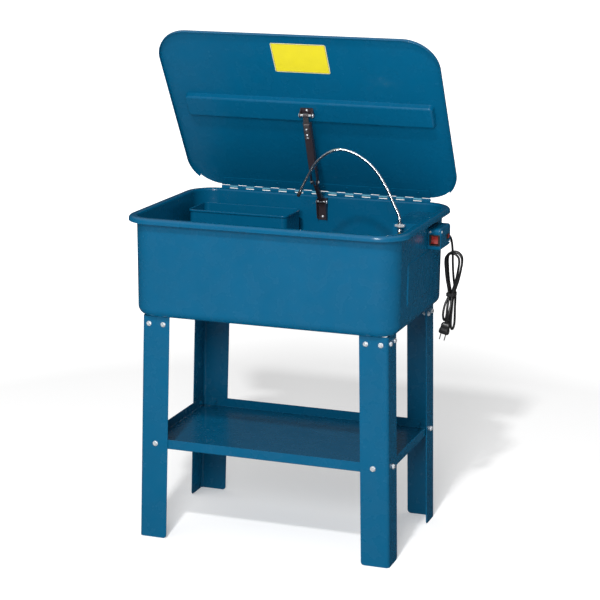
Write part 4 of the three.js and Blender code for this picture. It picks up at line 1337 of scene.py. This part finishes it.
def evenly(path, step):
    """The same line with its points an even distance apart."""
    points = [path[0]]
    carried = 0.0
    for start, end in zip(path, path[1:]):
        length = (end - start).length
        place = step - carried
        while place < length:
            points.append(start.lerp(end, place / length))
            place += step
        carried = length - (place - step)
    return [*points, path[-1]]


def spout_hose():
    """A chromed gooseneck wound from strip, which shows as close ribs."""
    line = smooth_path([Vector((-aside, 0, height)) for aside, height in GOOSENECK], 12)
    path = evenly(line, RIB_PITCH / 4)
    wave = (0.0, 0.7, 1.0, 0.7)
    radii = [HOSE_RADIUS - RIB_DEPTH * (1 - wave[i % 4]) for i in range(len(path))]
    piece("gooseneck", along(path, radii, 20), "spout", CHROME, ["spout_hose"], SPOUT_PLACE, sharp=80)


def spout_nozzle():
    (near_aside, near_height), (far_aside, far_height) = GOOSENECK[-2:]
    slope = math.degrees(math.atan2(far_aside - near_aside, near_height - far_height))
    profile = [
        (2.2, -15), (3.4, -15), (3.9, -14.4), (4.5, -9.5), (4.7, -8.8), (4.7, -7.4), (4.3, -7.0),
        (4.3, -6.2), (4.7, -5.8), (4.7, -4.4), (4.3, -4.0), (4.3, -3.2), (4.7, -2.8), (4.7, -0.3),
        (2.2, -0.3)]
    tip = lathe(profile, 28, hollow=True)
    place = SPOUT_PLACE @ shift(-far_aside, 0, far_height) @ turn(slope, "Y")
    piece("nozzle_tip", tip, "spout", PLASTIC, ["spout_nozzle"], place, bevel=0.15)


def spout_ferrule():
    ball = [(6 * x, 6 * y) for x, y in arc(0, 0, 1, -80, 45, 14)]
    sleeve = [
        (4.4, 4.6), (4.8, 5.6), (6.2, 7.2), (6.2, 16.4),
        (5.7, 17.4), (5.0, 18.0), (5.0, 21.0), (4.6, 21.6)]
    profile = [*ball, *sleeve]
    piece("ferrule_sleeve", lathe(profile, 36), "spout", CHROME, ["spout_ferrule"], SPOUT_PLACE)


def spout_clamp():
    """A worm-drive clamp: a slotted band, a screw in its housing, and the band's tail."""
    low, high = 10.9, 17.7
    band = tube(6.7, 7.9, low, high, 48)
    housing = block(7.2, -4.4, low + 0.5, 12.2, 4.4, high - 0.5)
    screw = moved(lathe([(1.7, -6.4), (1.7, 5.2), (3.1, 5.2), (3.1, 7.6), (2.5, 8.2)], 20),
                  shift(10.6, 0, (low + high) / 2) @ turn(90, "X"))
    notch = block(6, -9, (low + high) / 2 - 0.4, 15, -7, (low + high) / 2 + 0.4)
    tail_path = arc(0, 0, 8.1, 120, 190, 10)
    tail = prism(strip_outline([*tail_path, (-11.8, -3.2)], -0.9), low + 0.8, high - 0.8)
    clamp = together(band, housing, carved(screw, cut=[notch]), tail)
    piece("clamp_band", clamp, "spout", ZINC, ["spout_clamp"], SPOUT_PLACE, bevel=0.2)


def spout_bracket():
    box = Box("spout_bracket")
    corner = arc(box.back - 4, box.high - 4, 4, 90, 0, 6)
    bend = [(box.front, box.high), *corner, (box.back, box.low)]
    ledge = side_prism(strip_outline(bend, SHEET), box.left, box.right)
    hole = moved(rod(7.4, box.high - 10, box.high + 10, 32), shift(SPOUT_BASE.x, SPOUT_BASE.y))
    piece("spout_ledge", carved(ledge, cut=[hole]), "tank", PAINT, ["spout_bracket"], bevel=0.3)
    wall = box.back - SHEET
    places = [facing(SPOUT_BASE.x + d, wall, box.high - 15, "-y") for d in (-13, 13)]
    piece("spout_ledge_screws", screws(SHEET_SCREW, places), "tank", ZINC)


def spout_fitting():
    box = Box("spout_fitting")
    seat = box.high
    barbs = [(2.6, box.low), (4.4, box.low)]
    for start in (box.low + 1, box.low + 6.5):
        barbs += [(5.5, start + 4.2), (4.6, start + 4.8)]
    collar = [
        (5.0, 772), (7.0, 774), (7.0, LEDGE_TOP), (6.2, LEDGE_TOP),
        (6.2, seat - 0.8), (5.4, seat), (2.6, seat)]
    body = lathe([*barbs, *collar], 32, hollow=True)
    hexes = carved(prism(hexagon(17.2), LEDGE_TOP, seat - 3), cut=[rod(6.0, 780, 800, 24)])
    lock = carved(prism(hexagon(19), 782.2, 786.6), cut=[rod(6.9, 770, 800, 24)])
    piece("spout_union", together(body, hexes, lock), "tank", BRASS, ["spout_fitting"],
          shift(box.x, box.y), bevel=0.3)


spout_hose()
spout_nozzle()
spout_ferrule()
spout_clamp()
spout_bracket()
spout_fitting()

# ---------------------------------------------------------------- pump and its cover


def pump():
    box = Box("pump_body")
    hose = Box("pump_hose")
    top = 672.0
    profile = [(4, box.low), (0.8, box.low + 1), (0, box.low + 4)]
    for rib in range(7):
        start = box.low + 12 + rib * 7
        profile += [(0, start), (1.6, start + 0.8), (1.6, start + 3.2), (0, start + 4)]
    profile += [(0, top - 7), *arc(6, top - 6, 6, 180, 90, 6)]
    mid_y = TANK.y - 30.0
    housing = moved(pan(box.width, box.depth, 16, profile, 8), shift(box.x, mid_y))
    outlet_place = shift(hose.x, hose.y)
    spigot = [
        (7.5, top - 4), (7.5, top + 4), (6, top + 6), (6, 688), (4.8, 690), (5.2, 694), (4.6, 695),
        (4.6, 701), (4.2, 702)]
    outlet = moved(lathe(spigot, 28), outlet_place)
    aside, ahead = box.width / 2 - 11, box.depth / 2 - 11
    places = [shift(box.x + sx * aside, mid_y + sy * ahead, top - 0.2) for sx in (-1, 1) for sy in (-1, 1)]
    piece("pump_housing", carved(housing, joined=[outlet]), "tank", PLASTIC, ["pump_body"],
          bevel=0.3)
    piece("pump_screws", screws(PUMP_SCREW, places), "tank", ZINC)


def pump_strainer():
    box = Box("pump_strainer")
    plate = moved(prism(rounded(box.width, box.depth, 14, 8), box.low, box.high), shift(box.x, box.y))
    slots = []
    for offset in (-30, -18, -6, 6, 18, 30):
        outline = rounded(box.width - 16, 5, 2.4, 5, box.x, box.y + offset)
        slots.append(prism(outline, box.low - 2, box.high + 2))
    piece("strainer_plate", carved(plate, cut=slots), "tank", PLASTIC, ["pump_strainer"],
          bevel=0.4)


PUMP_HOSE_RADIUS = 8.8
PUMP_HOSE_BORE = 6.4
CLIP_HEIGHTS = (699, 764)


def pump_hose():
    """A soft hose in a slight bend, with a wire clip at each end."""
    box = Box("pump_hose")
    x, y = box.x, box.y
    route = [(x, y, 693.5), (x, y, 705), (x - 3, y - 3, 722), (x + 2, y + 2, 742), (x, y, 756), (x, y, 770)]
    path = smooth_path([Vector(p) for p in route], 6)
    outer = along(path, [PUMP_HOSE_RADIUS] * len(path), 28)
    ends = smooth_path([Vector((x, y, 690)), *[Vector(p) for p in route], Vector((x, y, 775))], 6)
    hose = carved(outer, cut=[along(ends, [PUMP_HOSE_BORE] * len(ends), 28)])
    piece("pump_hose_tube", hose, "tank", RUBBER, ["pump_hose"], bevel=0.3)
    clips = [moved(tube(8.9, 9.6, -2.2, 2.2, 36), shift(x, y, z)) for z in CLIP_HEIGHTS]
    piece("pump_hose_clips", together(*clips), "tank", ZINC, bevel=0.2)


def wiring_cover():
    """A folded cover, open towards the wall and underneath."""
    box = Box("wiring_cover")
    radius = 50.0
    corner = arc(box.right - radius, box.back - radius, radius, 0, 90, 12)
    outline = [(box.left, box.front), (box.right, box.front), *corner, (box.left, box.back)]
    outer = prism(outline, box.low, box.high)
    inside = block(
        box.left + SHEET, box.front + SHEET, box.low - 5, box.right + 5, box.back - SHEET, box.high - SHEET)
    piece("wiring_cover_shell", carved(outer, cut=[inside]), "tank", PAINT, ["wiring_cover"], bevel=1.2,
          segments=3)
    places = [facing(box.left, y, box.high - 14, "-x") for y in (box.front + 16, box.back - 26)]
    piece("wiring_cover_screws", screws(SHEET_SCREW, places), "tank", ZINC)


pump()
pump_strainer()
pump_hose()
wiring_cover()

# ---------------------------------------------------------------- loose pieces in the tank


SHELF_SLOT = {"length": 68, "width": 8, "first": 60, "column_pitch": 108, "row_pitch": 90}
BASKET_SLOT = {"width": 8, "length": 64, "pitch": 45}
SLOT_END = 3.9


def work_shelf():
    """A drained deck on two footed ends."""
    box = Box("work_shelf")
    left_bend = arc(box.left + 3, box.high - 3, 3, 180, 90, 5)
    right_bend = arc(box.right - 3, box.high - 3, 3, 90, 0, 5)
    bend = [(box.left, box.low), *left_bend, *right_bend, (box.right, box.low)]
    section = strip_outline(bend, SHEET)
    shell = rings_solid([[(x, y, z) for x, z in section] for y in (box.front, box.back)])
    slots = []
    for column in range(5):
        for row in (-1.5, -0.5, 0.5, 1.5):
            x = box.left + SHELF_SLOT["first"] + column * SHELF_SLOT["column_pitch"]
            y = box.y + row * SHELF_SLOT["row_pitch"]
            outline = rounded(SHELF_SLOT["length"], SHELF_SLOT["width"], SLOT_END, 6, x, y)
            slots.append(prism(outline, box.high - 5, box.high + 5))
    # Between its feet each end is cut away in an arch, and lower down beside the feet.
    cuts = []
    for middle, half, height in ((0, 130, 60), (-193, 23, 30), (193, 23, 30)):
        y = box.y + middle
        cuts.append(block(box.left - 10, y - half, box.low - 2, box.right + 10, y + half, box.low + height))
    piece("work_shelf_deck", carved(shell, cut=[*slots, *cuts]), "tank", PAINT,
          ["work_shelf"], bevel=0.4)


def parts_basket():
    box = Box("parts_basket")
    low, top = box.low, box.high
    reach = 2.0
    width, depth = box.width - 2 * reach, box.depth - 2 * reach
    profile = [
        *arc(8, low + 7, 7, -90, -180, 8), (1, top - 5), *arc(-1.2, top - 4.2, 0.8, -90, -180, 3),
        *arc(-0.2, top - 1.8, 1.8, 180, 90, 4), *arc(1.4, top - 1.6, 1.6, 90, 0, 4), (3, low + 7),
        *arc(8, low + 7, 5, 180, 270, 6)]
    tray = moved(pan(width, depth, 15, profile, 10), shift(box.x, box.y))
    slots = []
    for column in range(-2, 3):
        x = box.x + column * BASKET_SLOT["pitch"]
        outline = rounded(BASKET_SLOT["width"], BASKET_SLOT["length"], SLOT_END, 6, x, box.y)
        slots.append(prism(outline, low - 5, low + 10))
    piece("parts_basket_tray", carved(tray, cut=slots), "tank", PAINT, ["parts_basket"])


work_shelf()
parts_basket()

# ---------------------------------------------------------------- switch

ROCKER_POINT = joint_point("rocker_tip")
ROCKER_TILT = JOINTS["rocker_tip"]["range_deg"][1] / 2
ROCKER_PLACE = shift(*ROCKER_POINT) @ turn(-ROCKER_TILT, "X")


def switch_box():
    """A drawn steel box with soft edges, open towards the tank."""
    box = Box("switch_box")
    profile = [
        *arc(6, 6, 6, -90, -180, 7),
        (0, box.width),
        (1.6, box.width),
        *arc(6, 6, 4.4, 180, 270, 6),
    ]
    shell = pan(box.depth, box.height, 9, profile, 8)
    # The drawn pan's floor faces out along +X.
    outwards = Matrix(((0, 0, -1, box.right), (1, 0, 0, box.y), (0, 1, 0, box.z), (0, 0, 0, 1)))
    shell = moved(shell, outwards)
    bezel = Box("switch_bezel")
    opening = block(
        bezel.left + 2.6, box.front - 4, bezel.low + 1.8, bezel.right - 2.6, box.front + 8, bezel.high - 1.8)
    gland = Box("cord_gland")
    way_out = moved(rod(5.4, -8, 8, 28), shift(gland.x, box.back, gland.z) @ turn(90, "X"))
    piece("switch_housing", carved(shell, cut=[opening, way_out]), "tank", PAINT, ["switch_box"])
    places = [
        facing(box.right - 0.2, box.front + 9, box.high - 9, "+x"),
        facing(box.left + 6.5, box.front, box.high - 8.5, "-y"),
        facing(box.right - 0.2, box.back - 9, box.low + 9, "+x"),
    ]
    piece("switch_housing_screws", screws(SMALL_SCREW, places), "tank", ZINC)
    side = facing(box.right, box.y, box.z - 2, "+x") @ turn(90, "Z")
    plate = moved(prism(rounded(25, 15, 2, 5), 0, 0.7), shift(y=18) @ side)
    piece("switch_side_plate", plate, "tank", PLASTIC, bevel=0.2)
    pilot = moved(prism(rounded(9, 10, 1.5, 5), 0, 1.6), shift(y=24) @ side)
    piece("switch_pilot_button", pilot, "tank", RED_PLASTIC, bevel=0.4)


def switch_bezel():
    box = Box("switch_bezel")
    rocker = Box("switch_rocker", ROCKER_PLACE)
    half_hole = rocker.width / 2 + 0.5
    flange_back = box.front + 2.4
    place = shift(box.x, 0, box.z)
    laid = Matrix(((1, 0, 0, 0), (0, 0, -1, 0), (0, 1, 0, 0), (0, 0, 0, 1)))
    flange = moved(prism(rounded(box.width, box.height, 2.5, 6), -flange_back, -box.front), laid)
    sleeve = block(-half_hole - 1.5, flange_back - 0.5, -12, half_hole + 1.5, box.back, 12)
    opening = block(-half_hole, box.front - 5, -11, half_hole, box.back + 5, 11)
    piece("switch_frame", carved(flange, joined=[sleeve], cut=[opening]), "tank", PLASTIC,
          ["switch_bezel"], place, bevel=0.5)


def switch_rocker():
    """A dished rocker on a round back."""
    box = Box("switch_rocker", ROCKER_PLACE)
    half = box.height / 2
    dish = [(box.front + 2.0 - 2.0 * (2 * i / 10 - 1) ** 2, -half + 2 * half * i / 10) for i in range(11)]
    outline = [*dish, *arc(0, 0, half, 72, -72, 14)]
    body = side_prism(outline, box.left, box.right)
    ridges = [block(-4.5, box.front - 0.2, z - 0.45, 4.5, box.front + 2.4, z + 0.45) for z in (5.2, 6.9)]
    piece("rocker_button", carved(body, cut=ridges), "rocker", RED_PLASTIC, ["switch_rocker"],
          ROCKER_PLACE, bevel=0.5, segments=3)


switch_box()
switch_bezel()
switch_rocker()

# ---------------------------------------------------------------- studio

KEY_PLACE = Vector((0.48, -4.15, 4.92))
KEY_SIZE = 0.32
KEY_POWER = 200.0
FILL_PLACE = Vector((0.9, -4.4, 2.5))
FILL_SIZE = 1.4
FILL_POWER = 150.0
BRIGHT_SIDE = Vector((-0.72, -0.5, 0.4)).normalized()
UPWARD = Vector((0, 0, 1))
FLOOR_HALF = 40.0


def ambient(tree, dark, light, towards, start=-1.0):
    """Light from all round that grows from dark to light as its direction nears the one given."""
    direction = tree.nodes.new("ShaderNodeTexCoord").outputs["Generated"]
    facing_light = tree.nodes.new("ShaderNodeVectorMath")
    facing_light.operation = "DOT_PRODUCT"
    facing_light.inputs[1].default_value = towards
    tree.links.new(direction, facing_light.inputs[0])
    spread = tree.nodes.new("ShaderNodeMapRange")
    spread.inputs["From Min"].default_value = start
    spread.inputs["To Min"].default_value = dark
    spread.inputs["To Max"].default_value = light
    tree.links.new(facing_light.outputs["Value"], spread.inputs["Value"])
    background = tree.nodes.new("ShaderNodeBackground")
    tree.links.new(spread.outputs[0], background.inputs["Strength"])
    return background.outputs[0]


def studio_world():
    """White to the eye, softly uneven as light, and dark in reflections so that the gloss stays deep."""
    world = bpy.data.worlds.new("studio")
    world.use_nodes = True
    tree = world.node_tree
    rays = tree.nodes.new("ShaderNodeLightPath")
    seen = tree.nodes["Background"]
    seen.inputs["Color"].default_value = (1, 1, 1, 1)
    diffuse = ambient(tree, 0.24, 0.82, BRIGHT_SIDE)
    glossy = ambient(tree, 0.035, 1.3, UPWARD, start=0.3)
    by_gloss = tree.nodes.new("ShaderNodeMixShader")
    tree.links.new(rays.outputs["Is Glossy Ray"], by_gloss.inputs[0])
    tree.links.new(diffuse, by_gloss.inputs[1])
    tree.links.new(glossy, by_gloss.inputs[2])
    by_camera = tree.nodes.new("ShaderNodeMixShader")
    tree.links.new(rays.outputs["Is Camera Ray"], by_camera.inputs[0])
    tree.links.new(by_gloss.outputs[0], by_camera.inputs[1])
    tree.links.new(seen.outputs[0], by_camera.inputs[2])
    tree.links.new(by_camera.outputs[0], tree.nodes["World Output"].inputs["Surface"])
    bpy.context.scene.world = world


def studio_floor():
    mesh = bpy.data.meshes.new("floor")
    corners = [(x * FLOOR_HALF, y * FLOOR_HALF, 0) for x, y in ((-1, -1), (1, -1), (1, 1), (-1, 1))]
    mesh.from_pydata(corners, [], [(0, 1, 2, 3)])
    mesh.materials.append(floor_paper)
    floor = bpy.data.objects.new("floor", mesh)
    floor.visible_glossy = False
    bpy.context.scene.collection.objects.link(floor)


def area_light(name, place, size, power):
    """A round light that faces the middle of the object."""
    data = bpy.data.lights.new(name, "AREA")
    data.shape = "DISK"
    data.size = size
    data.energy = power
    light = bpy.data.objects.new(name, data)
    light.location = place
    light.rotation_mode = "QUATERNION"
    light.rotation_quaternion = (place - AIM).to_track_quat("Z", "Y")
    bpy.context.scene.collection.objects.link(light)


bpy.context.scene.view_settings.view_transform = "Standard"
studio_world()
studio_floor()
area_light("key", KEY_PLACE, KEY_SIZE, KEY_POWER)
area_light("fill", FILL_PLACE, FILL_SIZE, FILL_POWER)
